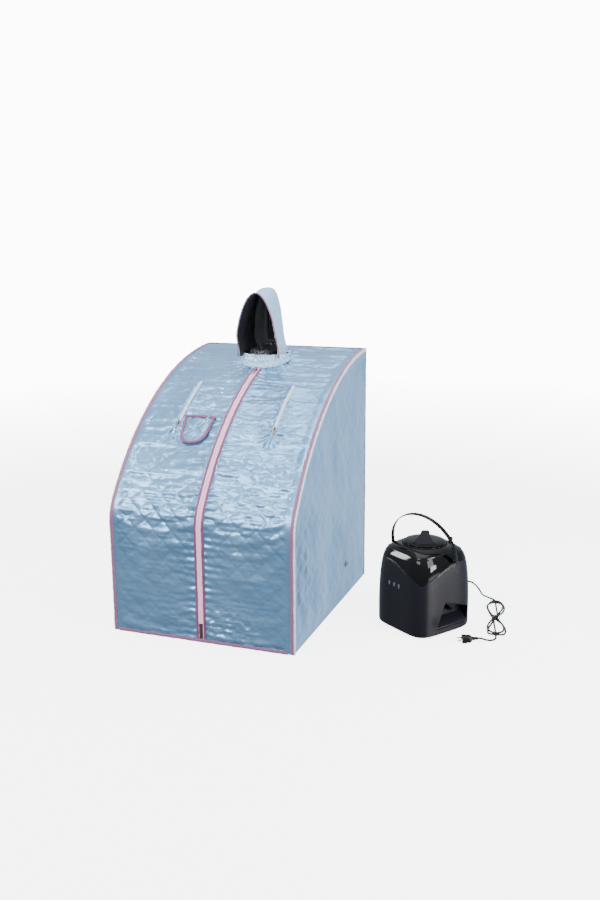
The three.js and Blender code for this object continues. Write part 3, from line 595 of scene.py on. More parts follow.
def make_plug():
    """Two-pin plug: ribbed tapered relief, a waisted grip, a flat face block and its pins."""
    turn = Matrix.Translation(PLUG_TAIL) @ Matrix.Rotation(PLUG_TURN, 4, "Z")
    stations = [(0.0, 4.3, 4.3), (0.6, 4.6, 4.6)]  # millimetres: along, half width, half height
    for rib in range(5):
        at, size = 2.0 + rib * 3.8, 4.8 + rib * 0.35
        stations += [(at + shift, size + grow, size + grow)
                     for shift, grow in ((0.0, 0.0), (0.5, 0.5), (2.2, 0.5), (2.7, -0.3))]
    stations += [(22, 8.5, 8.0), (26, 12.5, 11.0), (31, 14.8, 12.4), (38, 15.2, 11.8), (43, 14.4, 11.4),
                 (44, 15.8, 13.4), (56.5, 16.0, 13.6), (57.6, 15.4, 13.0), (58, 13.6, 11.5)]
    around, rows = 32, []
    for x, wide, tall in stations:
        power = 2 / (2 + 2.5 * float(step(x, 20, 34)))
        rows += [(x, wide * signed_power(math.cos(a), power), tall * signed_power(math.sin(a), power))
                 for a in ring(around)]
    pieces = [new_mesh("plug_body", np.array(rows) / 1000, tube_faces(len(stations), around), "rubber",
                       "steamer", place=turn, nodes=["plug"], solid=True, sharp=40)]
    around, profile = 20, [(50, 2.4), (73.5, 2.4), (75.2, 1.9), (76, 1.0)]
    for side, y in (("a", -11.5), ("b", 11.5)):
        rows = [(x, y + radius * math.cos(a), radius * math.sin(a))
                for x, radius in profile for a in ring(around)]
        pieces.append(new_mesh(f"plug_pin_{side}", np.array(rows) / 1000, tube_faces(len(profile), around),
                               "pin", "steamer", place=turn, solid=True))
    return pieces


def make_hank_tie():
    """A flat strap wound round the hank's crossing."""
    middle = (HANK_FAR + HANK_NEAR) / 2
    centre, path = 0.0090, []
    for angle in ring(48):
        side = 0.0150 * signed_power(math.cos(angle), 0.7)
        path.append(middle + hank_across * side
                    + Vector((0, 0, centre + 0.0086 * signed_power(math.sin(angle), 0.7))))
    path = np.array(path)
    normals = path - np.array([middle.x, middle.y, centre])
    section = rounded_rectangle(0.010, 0.0014, 0.0006, 2)
    return sweep("hank_tie", path, section, normals, "rubber", body="steamer", closed=True)


make_cord()

# ---- The tent's side outline -------------------------------------------------------------------
# s is the arc length from the floor up the straight leg, round the knee and over the roof.

low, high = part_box("side_panel_right")
HALF_WIDTH, HALF_DEPTH, HEIGHT = high.x, high.y, high.z
LEG, KNEE, KNEE_TURN = 0.410, 0.150, math.radians(32.5)
ROOF_CENTRE = JOINTS["main_zip_run"]["pos_m"][1:]
ROOF = math.hypot(HALF_DEPTH - ROOF_CENTRE[0], HEIGHT - ROOF_CENTRE[1])
ROOF_FROM = math.pi - KNEE_TURN
ROOF_TURN = ROOF_FROM - math.atan2(HEIGHT - ROOF_CENTRE[1], HALF_DEPTH - ROOF_CENTRE[0])
S_ROOF = LEG + KNEE * KNEE_TURN
S_TOP = S_ROOF + ROOF * ROOF_TURN


def outline(s):
    """(y, z) of the outline at s, and the outward normal there (y, z)."""
    s = np.asarray(s, float)
    knee_angle = math.pi - np.clip((s - LEG) / KNEE, 0, KNEE_TURN)
    roof_angle = ROOF_FROM - np.clip((s - S_ROOF) / ROOF, 0, None)
    on_roof = s > S_ROOF
    angle = np.where(on_roof, roof_angle, knee_angle)
    radius = np.where(on_roof, ROOF, KNEE)
    centre_y = np.where(on_roof, ROOF_CENTRE[0], -HALF_DEPTH + KNEE)
    centre_z = np.where(on_roof, ROOF_CENTRE[1], LEG)
    y = centre_y + radius * np.cos(angle)
    z = np.where(s < LEG, s, centre_z + radius * np.sin(angle))
    return y, z, np.cos(angle), np.where(s < LEG, 0.0, np.sin(angle))


def on_wall(x, s, out=0.0):
    """Points on the front and roof cloth, moved outwards by out."""
    y, z, ny, nz = outline(s)
    return stacked(x, y + ny * out, z + nz * out)


def wall_normals(s):
    _, _, ny, nz = outline(s)
    return stacked(0.0, ny, nz)


def s_at(y):
    """Arc length of the roof point at depth y."""
    return S_ROOF + ROOF * (ROOF_FROM - math.acos((y - ROOF_CENTRE[0]) / ROOF))


ZIP_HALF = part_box("main_zip_tape")[1].x
ZIP_TOP = s_at(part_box("main_zip_tape")[1].y)
ARM_X = (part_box("arm_zip_tape_right")[0].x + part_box("arm_zip_tape_right")[1].x) / 2
ARM_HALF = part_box("arm_zip_tape_right")[1].x - ARM_X
ARM_LOW = s_at(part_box("arm_zip_tape_right")[0].y)
ARM_HIGH = s_at(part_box("arm_zip_tape_right")[1].y)
NECK_LOW, NECK_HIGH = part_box("neck_collar")
NECK_Y = (NECK_LOW.y + NECK_HIGH.y) / 2
NECK_A, NECK_B = NECK_HIGH.x, (NECK_HIGH.y - NECK_LOW.y) / 2

# ---- Cloth -------------------------------------------------------------------------------------

QUILT = 0.051  # side of a quilted diamond


def quilt(u, v, depth):
    """Diamond cushions between rows of stitches that run at 45 degrees."""
    wobble = 0.0022 * noise(u, v, 0.05, 0.05, 5)
    height = np.ones(np.broadcast(u, v).shape)
    for way in (1, -1):
        across = (u + way * v) / math.sqrt(2) / QUILT + wobble / QUILT
        gap = np.abs((across + 0.5) % 1 - 0.5) * QUILT
        height = height * (1 - 0.95 * np.exp(-((gap / 0.0062) ** 1.3)))
    puff = 1 + 0.35 * noise(u, v, 0.06, 0.06, 9)
    return depth * (height * puff - 0.55)


def crumple(u, v, size, seed):
    """Sharp-ridged creases: folded noise in two sizes."""
    coarse = 1 - 2 * np.abs(noise(u, v, size, size * 0.6, seed))
    fine = 1 - 2 * np.abs(noise(u, v, size * 0.45, size * 0.3, seed + 1))
    return 0.65 * coarse + 0.35 * fine


def neck_distance(x, s):
    """Distance outside the neck's ellipse along the roof, and the angle round it."""
    y = outline(s)[0]
    a, b = x / NECK_A, (y - NECK_Y) / NECK_B
    return (np.hypot(a, b) - 1) * (NECK_A + NECK_B) / 2, np.arctan2(b, a)


def front_relief(x, s):
    """How far the front and roof cloth stands off the outline."""
    zip_gap = np.abs(x) - ZIP_HALF
    below_zip_top = 1 - step(s, ZIP_TOP - 0.05, ZIP_TOP + 0.02)
    belt = bell(s, 0.47, 0.10)
    h = quilt(x, s, 0.0034) * (0.32 + 0.46 * bell(s, 0.43, 0.13))
    h += 0.0045 * noise(x, s, 0.22, 0.11, 21) + 0.0012 * noise(x, s, 0.07, 0.035, 22)
    h += 0.0034 * noise(x + 0.3 * s, s, 0.24, 0.017, 29) * step(s, 0.46, 0.56)
    h += (0.0050 * belt + 0.0014) * noise(x, s, 0.13, 0.021, 23) * np.exp(-zip_gap / 0.22)
    h += (0.0012 * belt + 0.0007) * noise(x, s, 0.045, 0.0105, 24)
    h += 0.0006 * noise(x, s, 0.026, 0.014, 19)
    h *= 1 - 0.45 * bell(s, 0.17, 0.10)
    pucker = np.sin(2 * math.pi * (s + 0.006 * noise(x, s, 0.05, 0.08, 25)) / 0.027)
    tension = 0.55 + 0.45 * noise(0 * x, s, 0.1, 0.09, 26)
    h += 0.0042 * pucker * tension * np.exp(-zip_gap / 0.028) * below_zip_top
    h += 0.0046 * noise(x, s, 0.08, 0.013, 27) * np.exp(-zip_gap / 0.075) * below_zip_top
    for sign in (-1, 1):
        gap = np.abs(x - sign * ARM_X)
        along = step(s, ARM_LOW - 0.05, ARM_LOW) * (1 - step(s, ARM_HIGH, ARM_HIGH + 0.05))
        h += 0.0042 * noise(x, s, 0.06, 0.011, 28 + sign) * np.exp(-gap / 0.045) * along
        knot = np.hypot(x - sign * ARM_X, s - ARM_LOW + 0.01)
        turn = np.arctan2(s - ARM_LOW, x - sign * ARM_X)
        h += 0.0030 * np.sin(9 * turn + 2 * sign) * bell(knot, 0.028, 0.030)
    from_neck, turn = neck_distance(x, s)
    gather = np.sin(27 * turn + 1.8 * noise(turn, from_neck, 0.5, 0.03, 33))
    h += 0.0042 * gather * np.exp(-np.maximum(from_neck, 0) / 0.035)
    h += 0.0050 * noise(turn * 0.1, from_neck, 0.022, 0.09, 34) * np.exp(-np.maximum(from_neck, 0) / 0.09)
    foot_right = step(x, 0.01, 0.04) * (1 - step(x, 0.17, 0.27))
    foot_left = 0.45 * step(-x, 0.01, 0.04) * (1 - step(-x, 0.10, 0.22))
    h += 0.0052 * crumple(x, s, 0.036, 41) * bell(s, 0.070, 0.075) * (foot_right + foot_left)
    hem = np.exp(-s / 0.018)
    h += 0.0040 * noise(x, s, 0.017, 0.06, 45) * hem
    h += 0.0007 * crumple(x, s, 0.028, 47)
    pocket_cover = bell(x, -0.115, 0.06) * bell(s, s_at(-0.198), 0.065)
    h *= 1 - 0.75 * pocket_cover
    return h * loose(x, s, 0.007)


def loose(x, s, reach):
    """0 where a trim holds the front cloth down, 1 beyond its reach, and smooth between."""
    share = step(HALF_WIDTH - np.abs(x), 0.012, 0.045)
    share = share * step(s, 0.004, 0.014) * step(S_TOP - s, 0.004, 0.03)
    zip_share = step(np.abs(x) - ZIP_HALF, -0.002, reach - 0.002)
    share = share * np.where(s < ZIP_TOP + 0.01, zip_share, 1.0)
    for sign in (-1, 1):
        along = np.maximum(np.maximum(ARM_LOW - s, s - ARM_HIGH), 0)
        gap = np.hypot(np.maximum(np.abs(x - sign * ARM_X) - ARM_HALF, 0), along)
        share = share * step(gap, 0.0, reach)
    return share


def upsample(coarse, rows, columns):
    """Smooth cubic upsampling of a coarse grid of vectors to rows x columns."""
    def weights(fine, count):
        place = np.linspace(0, count - 1, fine)
        base = np.minimum(np.floor(place).astype(int), count - 2)
        t = place - base
        matrix = np.zeros((fine, count))
        parts = (
            -0.5 * t + t**2 - 0.5 * t**3,
            1 - 2.5 * t**2 + 1.5 * t**3,
            0.5 * t + 2 * t**2 - 1.5 * t**3,
            -0.5 * t**2 + 0.5 * t**3,
        )
        for offset, part in zip((-1, 0, 1, 2), parts):
            np.add.at(matrix, (np.arange(fine), np.clip(base + offset, 0, count - 1)), part)
        return matrix

    down, across = weights(rows, coarse.shape[0]), weights(columns, coarse.shape[1])
    return np.einsum("ri,ijk,cj->rck", down, coarse, across)


def drape(points, pinned, spare):
    """Cloth simulation of a grid sheet with spare cloth in it, held at the pinned points.

    points is rows x columns x 3, spare is each point's share of extra length. Returns how far
    each point moved.
    """
    mesh = bpy.data.meshes.new("drape")
    mesh.from_pydata([tuple(p) for p in points.reshape(-1, 3)], [], grid_faces(*points.shape[:2]))
    sheet = link_object("drape", mesh)
    pins, slack = sheet.vertex_groups.new(name="pins"), sheet.vertex_groups.new(name="slack")
    most = float(spare.max())
    for index, (held, share) in enumerate(zip(pinned.ravel(), spare.ravel())):
        if held:
            pins.add([index], 1.0, "REPLACE")
        slack.add([index], float(share) / most, "REPLACE")
    cloth = sheet.modifiers.new("cloth", "CLOTH")
    for key, value in {
        "quality": 6, "mass": 0.35, "tension_stiffness": 18, "compression_stiffness": 18,
        "shear_stiffness": 8, "bending_stiffness": 0.6, "air_damping": 3,
        "vertex_group_mass": "pins", "vertex_group_shrink": "slack", "shrink_min": 0.0,
        "shrink_max": -most,
    }.items():
        setattr(cloth.settings, key, value)
    cloth.settings.effector_weights.gravity = 0.35
    cloth.collision_settings.use_collision = False
    cloth.collision_settings.use_self_collision = False
    scene, frames = bpy.context.scene, 22
    cloth.point_cache.frame_start, cloth.point_cache.frame_end = 1, frames
    for number in range(1, frames + 1):
        scene.frame_set(number)
    result = sheet.evaluated_get(bpy.context.evaluated_depsgraph_get()).to_mesh()
    moved = np.zeros(len(result.vertices) * 3)
    result.vertices.foreach_get("co", moved)
    bpy.data.objects.remove(sheet)
    scene.frame_set(1)
    return moved.reshape(points.shape) - points


def capped(moved, most):
    """Moves kept under a limit, easing into it."""
    length = np.linalg.norm(moved, axis=-1, keepdims=True)
    return moved * np.tanh(length / most) * most / np.maximum(length, 1e-9)


def compact(points, uv, faces, keep):
    """The kept faces, and the points that they use."""
    faces = [f for f, kept in zip(faces, keep) if kept]
    used = np.unique(np.array([i for f in faces for i in f]))
    index = np.full(len(points), -1)
    index[used] = np.arange(len(used))
    return points[used], [tuple(int(index[i]) for i in f) for f in faces], uv[used]


def orient(piece, outward):
    """Turns the faces so that most of them look along outward."""
    mesh = piece.data
    mesh.update()
    total = sum((p.normal * p.area for p in mesh.polygons), Vector())
    if total.dot(outward) < 0:
        mesh.flip_normals()


def cloth_panel(name, points, faces, uv, outward, nodes, thickness=0.0026):
    """A sheet with satin on its outer side and silver cloth inside."""
    cloth = new_mesh(name, points, faces, ("satin", "inside"), uv=uv, nodes=nodes)
    orient(cloth, Vector(outward))
    thicken(cloth, thickness, material_offset=1)
    return cloth


SUNK = -0.0012  # how far the cloths lie inside the CAD's outer faces
HEM_RISE = 0.0055  # where the front cloth starts above the floor


def front_grid(columns, rows):
    """Grids of x and s over the front and roof cloth."""
    half = HALF_WIDTH + SUNK
    return np.meshgrid(np.linspace(-half, half, columns), np.linspace(HEM_RISE, S_TOP - 0.002, rows))


def make_front():
    """One sheet from the front hem over the roof to the rear edge, with a hole for the neck."""
    columns, rows = 233, 497
    x, s = front_grid(columns, rows)
    from_neck, turn = neck_distance(x, s)
    points = on_wall(x, s, SUNK) + front_relief(x, s)[..., None] * wall_normals(s[:, 0])[:, None]
    points += front_folds(rows, columns) * loose(x, s, 0.016)[..., None]
    edge = (from_neck > -0.004) & (from_neck < 0.0005)
    rim = on_wall(NECK_A * np.cos(turn), np.vectorize(s_at)(NECK_Y + NECK_B * np.sin(turn)), SUNK)
    points = np.where(edge[..., None], rim, points)
    inside = (from_neck < -0.004).ravel()
    faces = grid_faces(rows, columns)
    keep = [not any(inside[i] for i in f) for f in faces]
    points, faces, uv = compact(points.reshape(-1, 3), stacked(x, s).reshape(-1, 2), faces, keep)
    cloth = cloth_panel("front_cloth", points, faces, uv, (0, -1, 0.3),
                        ["front_panel_left", "front_panel_right"])


def front_folds(rows, columns):
    """Loose folds of the front cloth between its zips and edges, from a cloth simulation."""
    x, s = front_grid(71, 150)
    from_neck, _ = neck_distance(x, s)
    pinned = (np.abs(x) > HALF_WIDTH - 0.018) | (s < 0.02) | (s > S_TOP - 0.02)
    pinned |= (np.abs(x) < ZIP_HALF) & (s < ZIP_TOP)
    pinned |= (np.abs(np.abs(x) - ARM_X) < 0.009) & (s > ARM_LOW) & (s < ARM_HIGH)
    pinned |= from_neck < 0.006
    near_zip = np.exp(-np.abs(x) / 0.12) * (s < ZIP_TOP)
    spare = 0.010 + 0.016 * near_zip + 0.018 * bell(s, 0.47, 0.12)
    spare += 0.012 * bell(s, 0.08, 0.07) + 0.012 * np.exp(-np.maximum(from_neck, 0) / 0.08)
    moved = capped(drape(on_wall(x, s, SUNK), pinned, spare), 0.010)
    return upsample(moved, rows, columns)


make_front()


def side_relief(y, z):
    """Soft waves, creases and quilting of the flat panels."""
    h = quilt(y, z, 0.0011)
    h += 0.0060 * noise(y, z, 0.20, 0.30, 51) + 0.0028 * noise(y, z, 0.06, 0.09, 52)
    h += 0.0011 * noise(y + 0.4 * z, z, 0.034, 0.16, 53) + 0.0009 * crumple(y, z, 0.045, 54)
    return h


def outline_gap(y, z):
    """Distance inside the side outline, and the nearest point on it."""
    line = np.stack(outline(np.linspace(0, S_TOP, 1500))[:2], -1)
    flat = np.stack([y.ravel(), z.ravel()], -1)
    best, nearest = np.full(len(flat), 1e9), np.zeros_like(flat)
    for part in np.array_split(np.arange(len(flat)), max(1, len(flat) // 3000)):
        d = np.linalg.norm(flat[part][:, None] - line[None], axis=2)
        at = d.argmin(1)
        best[part], nearest[part] = d[np.arange(len(part)), at], line[at]
    front_of_roof = (flat[:, 0] - ROOF_CENTRE[0]) ** 2 + (flat[:, 1] - ROOF_CENTRE[1]) ** 2 > ROOF**2
    knee_y, knee_z = flat[:, 0] + HALF_DEPTH - KNEE, flat[:, 1] - LEG
    in_knee = np.arctan2(knee_z, knee_y) > ROOF_FROM
    outside_knee = in_knee & (np.hypot(knee_y, knee_z) > KNEE)
    roof_part = (flat[:, 1] > LEG) & ~in_knee
    outside = outside_knee | (roof_part & front_of_roof) | (flat[:, 0] < -HALF_DEPTH)
    return np.where(outside, -best, best).reshape(y.shape), nearest.reshape(*y.shape, 2)


def make_side(side, sign):
    """A side panel cut to the outline from a fine square grid."""
    spacing, foot = 0.0045, 0.0045
    columns = len(np.arange(-HALF_DEPTH, HALF_DEPTH + spacing / 2, spacing))
    y, z = np.meshgrid(np.linspace(-HALF_DEPTH, HALF_DEPTH - 0.001, columns),
                       np.linspace(foot, HEIGHT, int(HEIGHT / spacing)))
    gap, nearest = outline_gap(y, z)
    inside = (gap > -spacing * 0.75).ravel()
    rim = (gap < spacing * 0.55) & (gap > -spacing * 0.75) & (z > spacing)
    y = np.where(rim, nearest[..., 0], y)
    z = np.where(rim, np.maximum(nearest[..., 1], foot), z)
    calm = step(gap, 0.012, 0.05) * step(z, 0.01, 0.05) * step(HALF_DEPTH - y, 0.01, 0.04)
    if sign > 0:
        port = (Vector(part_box("hose_port")[0]) + Vector(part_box("hose_port")[1])) / 2
        calm = calm * step(np.hypot(y - port.y, z - port.z), 0.014, 0.035)
    relief = side_relief(y, z + (0.13 if sign < 0 else 0)) * calm + SUNK
    points = stacked(sign * (HALF_WIDTH + relief), y, z).reshape(-1, 3)
    faces = grid_faces(*y.shape)
    keep = [all(inside[i] for i in f) for f in faces]
    points, faces, uv = compact(points, stacked(y, z).reshape(-1, 2), faces, keep)
    cloth = cloth_panel(f"side_cloth_{side}", points, faces, uv, (sign, 0, 0), [f"side_panel_{side}"])


for side, sign in SIDES:
    make_side(side, sign)


def make_rectangle(name, node, origin, width, height, up, normal, relief):
    """A flat quilted panel, the back or the floor, that runs along X and up."""
    u, v = np.meshgrid(np.linspace(0, width, max(2, int(width / 0.005))),
                       np.linspace(0, height, max(2, int(height / 0.005))))
    edge = np.minimum(np.minimum(u, width - u), np.minimum(v, height - v))
    out = relief(u, v) * step(edge, 0.008, 0.05)
    points = (np.array(origin) + u[..., None] * np.array((1, 0, 0)) + v[..., None] * np.array(up)
              + out[..., None] * np.array(normal))
    cloth = cloth_panel(name, points, grid_faces(*u.shape), stacked(u, v), normal, [node])


make_rectangle("back_cloth", "back_panel", (-HALF_WIDTH + 0.001, HALF_DEPTH + SUNK, 0.0045),
               2 * HALF_WIDTH - 0.002, HEIGHT - 0.006, (0, 0, 1), (0, 1, 0), side_relief)
make_rectangle("floor_cloth", "floor_panel", (-HALF_WIDTH + 0.001, -HALF_DEPTH + 0.001, 0.0008),
               2 * HALF_WIDTH - 0.002, 2 * HALF_DEPTH - 0.002, (0, 1, 0), (0, 0, -1),
               lambda u, v: 0.0005 + 0.0005 * np.abs(noise(u, v, 0.1, 0.1, 61)))

# ---- Trims -------------------------------------------------------------------------------------


def puckered(section, along, seed, amount=0.0005, size=0.009):
    """The same section at each station, with small gathers along its length."""
    swell = 1 + amount / 0.001 * 0.5 * noise(along, 0 * along, size, 1, seed)
    sections = np.repeat(np.asarray(section, float)[None], len(along), 0)
    sections[..., 1] *= swell[:, None]
    sections[..., 0] += (0.0004 * noise(along, 0 * along, 0.02, 1, seed + 1))[:, None]
    return sections


def wall_tape(name, x, s, lift, shape, look, seed=None, nodes=(), **gathers):
    """A tape along the outline, lifted off it; shape is its (width, height, corner radius, steps)."""
    section = rounded_rectangle(*shape)
    if seed is not None:
        section = puckered(section, s, seed, **gathers)
    return sweep(name, on_wall(x, s, lift), section, wall_normals(s), look, nodes=nodes)


def make_edge_trim(side, sign):
    """Mauve binding over the front's side edge, and the white piping beside it."""
    s = np.arange(0.002, S_TOP - 0.004, 0.004)
    middle = sign * (HALF_WIDTH - 0.0058)
    wall_tape(f"edge_ribbon_{side}", middle, s, 0.0006, (0.0120, 0.0024, 0.0011, 3), "edge", 71 + sign,
              [f"edge_binding_{side}"])
    wall_tape(f"piping_{side}", sign * (HALF_WIDTH + 0.0012), s, -0.0056, (0.0046, 0.0126, 0.0021, 4),
              "piping", 75 + sign)
    for row, edge in (("a", -0.0040), ("b", 0.0040)):
        stitch_line(f"edge_stitch_{side}_{row}", on_wall(middle + edge, s, 0.0017), wall_normals(s))


def stitch_line(name, path, normals, look="thread", pitch=0.0042, **more):
    """A row of short raised stitches along a path."""
    normals = np.broadcast_to(normals, path.shape)
    along = np.r_[0, np.cumsum(np.linalg.norm(np.diff(path, axis=0), axis=1))]
    points, faces = [], []
    for start in np.arange(pitch / 2, along[-1] - pitch / 2, pitch):
        head, tail = (np.array([np.interp(at, along, path[:, k]) for k in range(3)])
                      for at in (start, start + pitch * 0.66))
        normal = np.array([np.interp(start, along, normals[:, k]) for k in range(3)])
        ahead = (tail - head) / max(np.linalg.norm(tail - head), 1e-9)
        wide = np.cross(ahead, normal) * 0.00045
        middle = (head + tail) / 2 + normal * 0.00035
        first = len(points)
        points += [head, middle + wide, tail, middle - wide, middle + normal * 0.0002,
                   (head + tail) / 2 - normal * 0.0003]
        for a, b in ((0, 1), (1, 2), (2, 3), (3, 0)):
            faces += [(first + a, first + b, first + 4), (first + b, first + a, first + 5)]
    return new_mesh(name, points, faces, look, **more)


for side, sign in SIDES:
    make_edge_trim(side, sign)


def make_hem():
    """The gathered binding along the front's foot."""
    low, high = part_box("front_hem_binding")
    x = np.arange(low.x, high.x, 0.003)
    y = -HALF_DEPTH - 0.0011 - 0.0009 * (1 + noise(x, 0 * x, 0.014, 1, 81))
    section = puckered(rounded_rectangle(0.0125, 0.0022, 0.001, 3), x, 82, 0.0009)
    sweep("hem_binding", stacked(x, y, 0.0068), section, (0, -1, 0), "edge", nodes=["front_hem_binding"])


def make_rear_binding():
    """Binding round the rear edges: up one side, over the top and down the other."""
    edge, top, y = HALF_WIDTH - 0.0055, HEIGHT - 0.0065, HALF_DEPTH + 0.0012
    corner, pace = 0.006, 0.012
    points = [(-edge, y, 0.002)] + [(-edge, y, z) for z in np.arange(0.02, top - corner, pace)]
    points += [(-edge + corner * 0.3, y, top - corner * 0.3)]
    points += [(x, y, top) for x in np.arange(-edge + corner, edge - corner, pace)]
    points += [(edge - corner * 0.3, y, top - corner * 0.3)]
    points += [(edge, y, z) for z in np.arange(top - corner, 0.02, -pace)] + [(edge, y, 0.002)]
    path = smooth_path(points, per_span=3)
    section = puckered(rounded_rectangle(0.0135, 0.0022, 0.001, 3), np.linspace(0, 2.6, len(path)), 85)
    sweep("rear_binding_tape", path, section, (0, 1, 0), "edge", nodes=["rear_binding"])
    on_side = np.abs(path[:, 0]) > edge - 0.001
    inward = np.where(on_side[:, None], np.sign(path) * [1, 0, 0], [0, 0, 1])
    for row, inset in (("outer", 0.0042), ("inner", -0.0042)):
        stitch_line(f"rear_stitch_{row}", path + inward * inset + [0, 0.0011, 0], (0, 1, 0))
    x = np.arange(-HALF_WIDTH + 0.004, HALF_WIDTH - 0.004, 0.004)
    section = puckered(rounded_rectangle(0.0125, 0.002, 0.0009, 3), x, 88)
    sweep("rear_lip_tape", stacked(x, HALF_DEPTH - 0.0065, HEIGHT + 0.0003), section, (0, 0, 1), "edge")


make_hem()
make_rear_binding()

# ---- Zips --------------------------------------------------------------------------------------


BLOCK = [(0, 3, 2, 1), (4, 5, 6, 7), (0, 1, 5, 4), (1, 2, 6, 5), (2, 3, 7, 6), (3, 0, 4, 7)]


def teeth(name, x, low, high, half, look, pitch=0.0026):
    """Two interlocking rows of coil teeth along the outline."""
    points, faces = [], []
    shape = [(-1, -1, 0), (1, -1, 0), (1, 1, 0), (-1, 1, 0), (-0.6, -0.6, 1), (0.6, -0.6, 1),
             (0.6, 0.6, 1), (-0.6, 0.6, 1)]
    for number, start in enumerate(np.arange(low, high, pitch)):
        side = 1 if number % 2 else -1
        faces += [tuple(len(points) + i for i in q) for q in BLOCK]
        points += [on_wall(x + (0.42 * side + 0.75 * a) * half, start + b * pitch * 0.36,
                           0.0012 + c * 0.0011) for a, b, c in shape]
    new_mesh(name, points, faces, look, smooth=False)


def make_main_zip():
    s = np.arange(0.0055, ZIP_TOP - 0.001, 0.003)
    wall_tape("main_zip_cloth", 0.0, s, 0.0004, (0.0235, 0.0014, 0.0006, 2), "zip_pink",
              nodes=["main_zip_tape"])
    for side, sign in SIDES:
        x = sign * 0.0135 + 0.0006 * noise(s, 0 * s, 0.013, 1, 91 + sign)
        wall_tape(f"main_zip_binding_{side}", x, s, 0.0008, (0.0086, 0.0030, 0.0013, 3), "binding",
                  93 + sign, amount=0.0008, size=0.012)
        stitch_line(f"main_zip_stitch_{side}", on_wall(sign * 0.0108, s, 0.0023), wall_normals(s))
    teeth("main_zip_teeth", 0.0, 0.012, ZIP_TOP - 0.004, 0.0024, "teeth_pink")
    low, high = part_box("main_zip_end_tab")
    wall_tape("end_tab", 0.0, np.arange(low.z, high.z, 0.003), 0.0021, (0.0145, 0.0022, 0.0009, 3),
              "zip_tab", nodes=["main_zip_end_tab"])
    wall_tape("main_zip_stop", 0.0, np.arange(ZIP_TOP - 0.008, ZIP_TOP + 0.004, 0.002), 0.0022,
              (0.031, 0.0026, 0.0011, 3), "binding")


def make_arm_zip(side, sign):
    s, x = np.arange(ARM_LOW - 0.001, ARM_HIGH + 0.001, 0.003), sign * ARM_X
    wall_tape(f"arm_zip_cloth_{side}", x, s, 0.0005, (2 * ARM_HALF, 0.0016, 0.0007, 2), "zip_white",
              nodes=[f"arm_zip_tape_{side}"])
    teeth(f"arm_zip_teeth_{side}", x, ARM_LOW + 0.004, ARM_HIGH - 0.004, 0.0018, "teeth_white")
    for row, way in (("a", -1), ("b", 1)):
        stitch_line(f"arm_zip_stitch_{side}_{row}", on_wall(x + way * (ARM_HALF - 0.0012), s, 0.0014),
                    wall_normals(s), "teeth_white")


make_main_zip()
for side, sign in SIDES:
    make_arm_zip(side, sign)

dress(["main_zip_slider", "main_zip_puller"], "nickel")
dress([f"arm_zip_{side}_{part}" for side, _ in SIDES for part in ("slider", "puller")], "nickel")

# ---- Pocket and hose port ----------------------------------------------------------------------


def make_pocket():
    """A D-shaped quilted pocket with a bound rim and mouth."""
    low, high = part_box("pocket")
    centre_x, centre_s = (low.x + high.x) / 2, (s_at(low.y) + s_at(high.y)) / 2
    half, height = (high.x - low.x) / 2 - 0.002, s_at(high.y) - s_at(low.y) - 0.006
    corners = [(-1, 0.5), (-0.86, 0.1), (-0.74, -0.28), (-0.45, -0.46), (0.1, -0.5), (0.62, -0.42),
               (0.92, -0.18), (0.97, 0.1), (1, 0.5)]
    rim = smooth_path([(a * half, b * height) for a, b in corners], per_span=12)
    left_rim, right_rim = np.split(rim, [len(rim) // 2])
    v = height * (np.linspace(0, 1, 27) - 0.5)
    left = np.interp(-v, -left_rim[:, 1], left_rim[:, 0])
    right = np.interp(v, right_rim[:, 1], right_rim[:, 0])
    u = left[:, None] + (right - left)[:, None] * np.linspace(0, 1, 33)
    v = np.repeat(v[:, None], 33, 1)
    edge = np.minimum(u - u[:, :1], u[:, -1:] - u)
    out = 0.0035 * step(edge, 0, 0.03) * (0.5 + v / height) + 0.0018
    out += quilt(u + 0.004, v, 0.0052) * step(edge, 0, 0.012) + 0.0012 * noise(u, v, 0.02, 0.03, 101)
    points = on_wall(centre_x + u, centre_s + v, np.clip(out, 0.0006, 0.0085))
    cloth = cloth_panel("pocket_cloth", points, grid_faces(*u.shape), stacked(u + 0.4, v + 0.2),
                        (0, -1, 0.8), ["pocket"], thickness=0.0016)
    section = puckered(rounded_rectangle(0.0100, 0.0034, 0.0015, 3), np.linspace(0, 0.36, len(rim)), 103,
                       0.0007)
    s = centre_s + rim[:, 1]
    sweep("pocket_binding", on_wall(centre_x + rim[:, 0], s, 0.0034), section, wall_normals(s), "binding")
    u = np.linspace(-half, half, 40)
    lift = 0.0044 + 0.0022 * (1 - (u / half) ** 2).clip(0, 1)
    section = puckered(rounded_rectangle(0.0110, 0.0034, 0.0015, 3), u, 105)
    mouth = centre_s + height / 2
    sweep("pocket_mouth_binding", on_wall(centre_x + u, mouth - 0.003, lift), section,
          np.repeat(wall_normals(np.array([mouth])), len(u), 0), "binding")


def lathe(name, profile, look, body, place, steps=64, section=None, **more):
    """A piece turned about local Z from a closed [(radius, height), ...] profile."""
    profile, angle = np.array(profile, float), ring(steps)
    radius = profile[:, :1] * np.ones(steps)
    if section is not None:
        radius = radius * section(radius, angle)
    points = stacked(radius * np.cos(angle), radius * np.sin(angle), profile[:, 1:])
    faces = grid_faces(len(profile), steps, wrap_columns=True, wrap_rows=True)
    return new_mesh(name, points, faces, look, body, place=place, solid=True, **more)


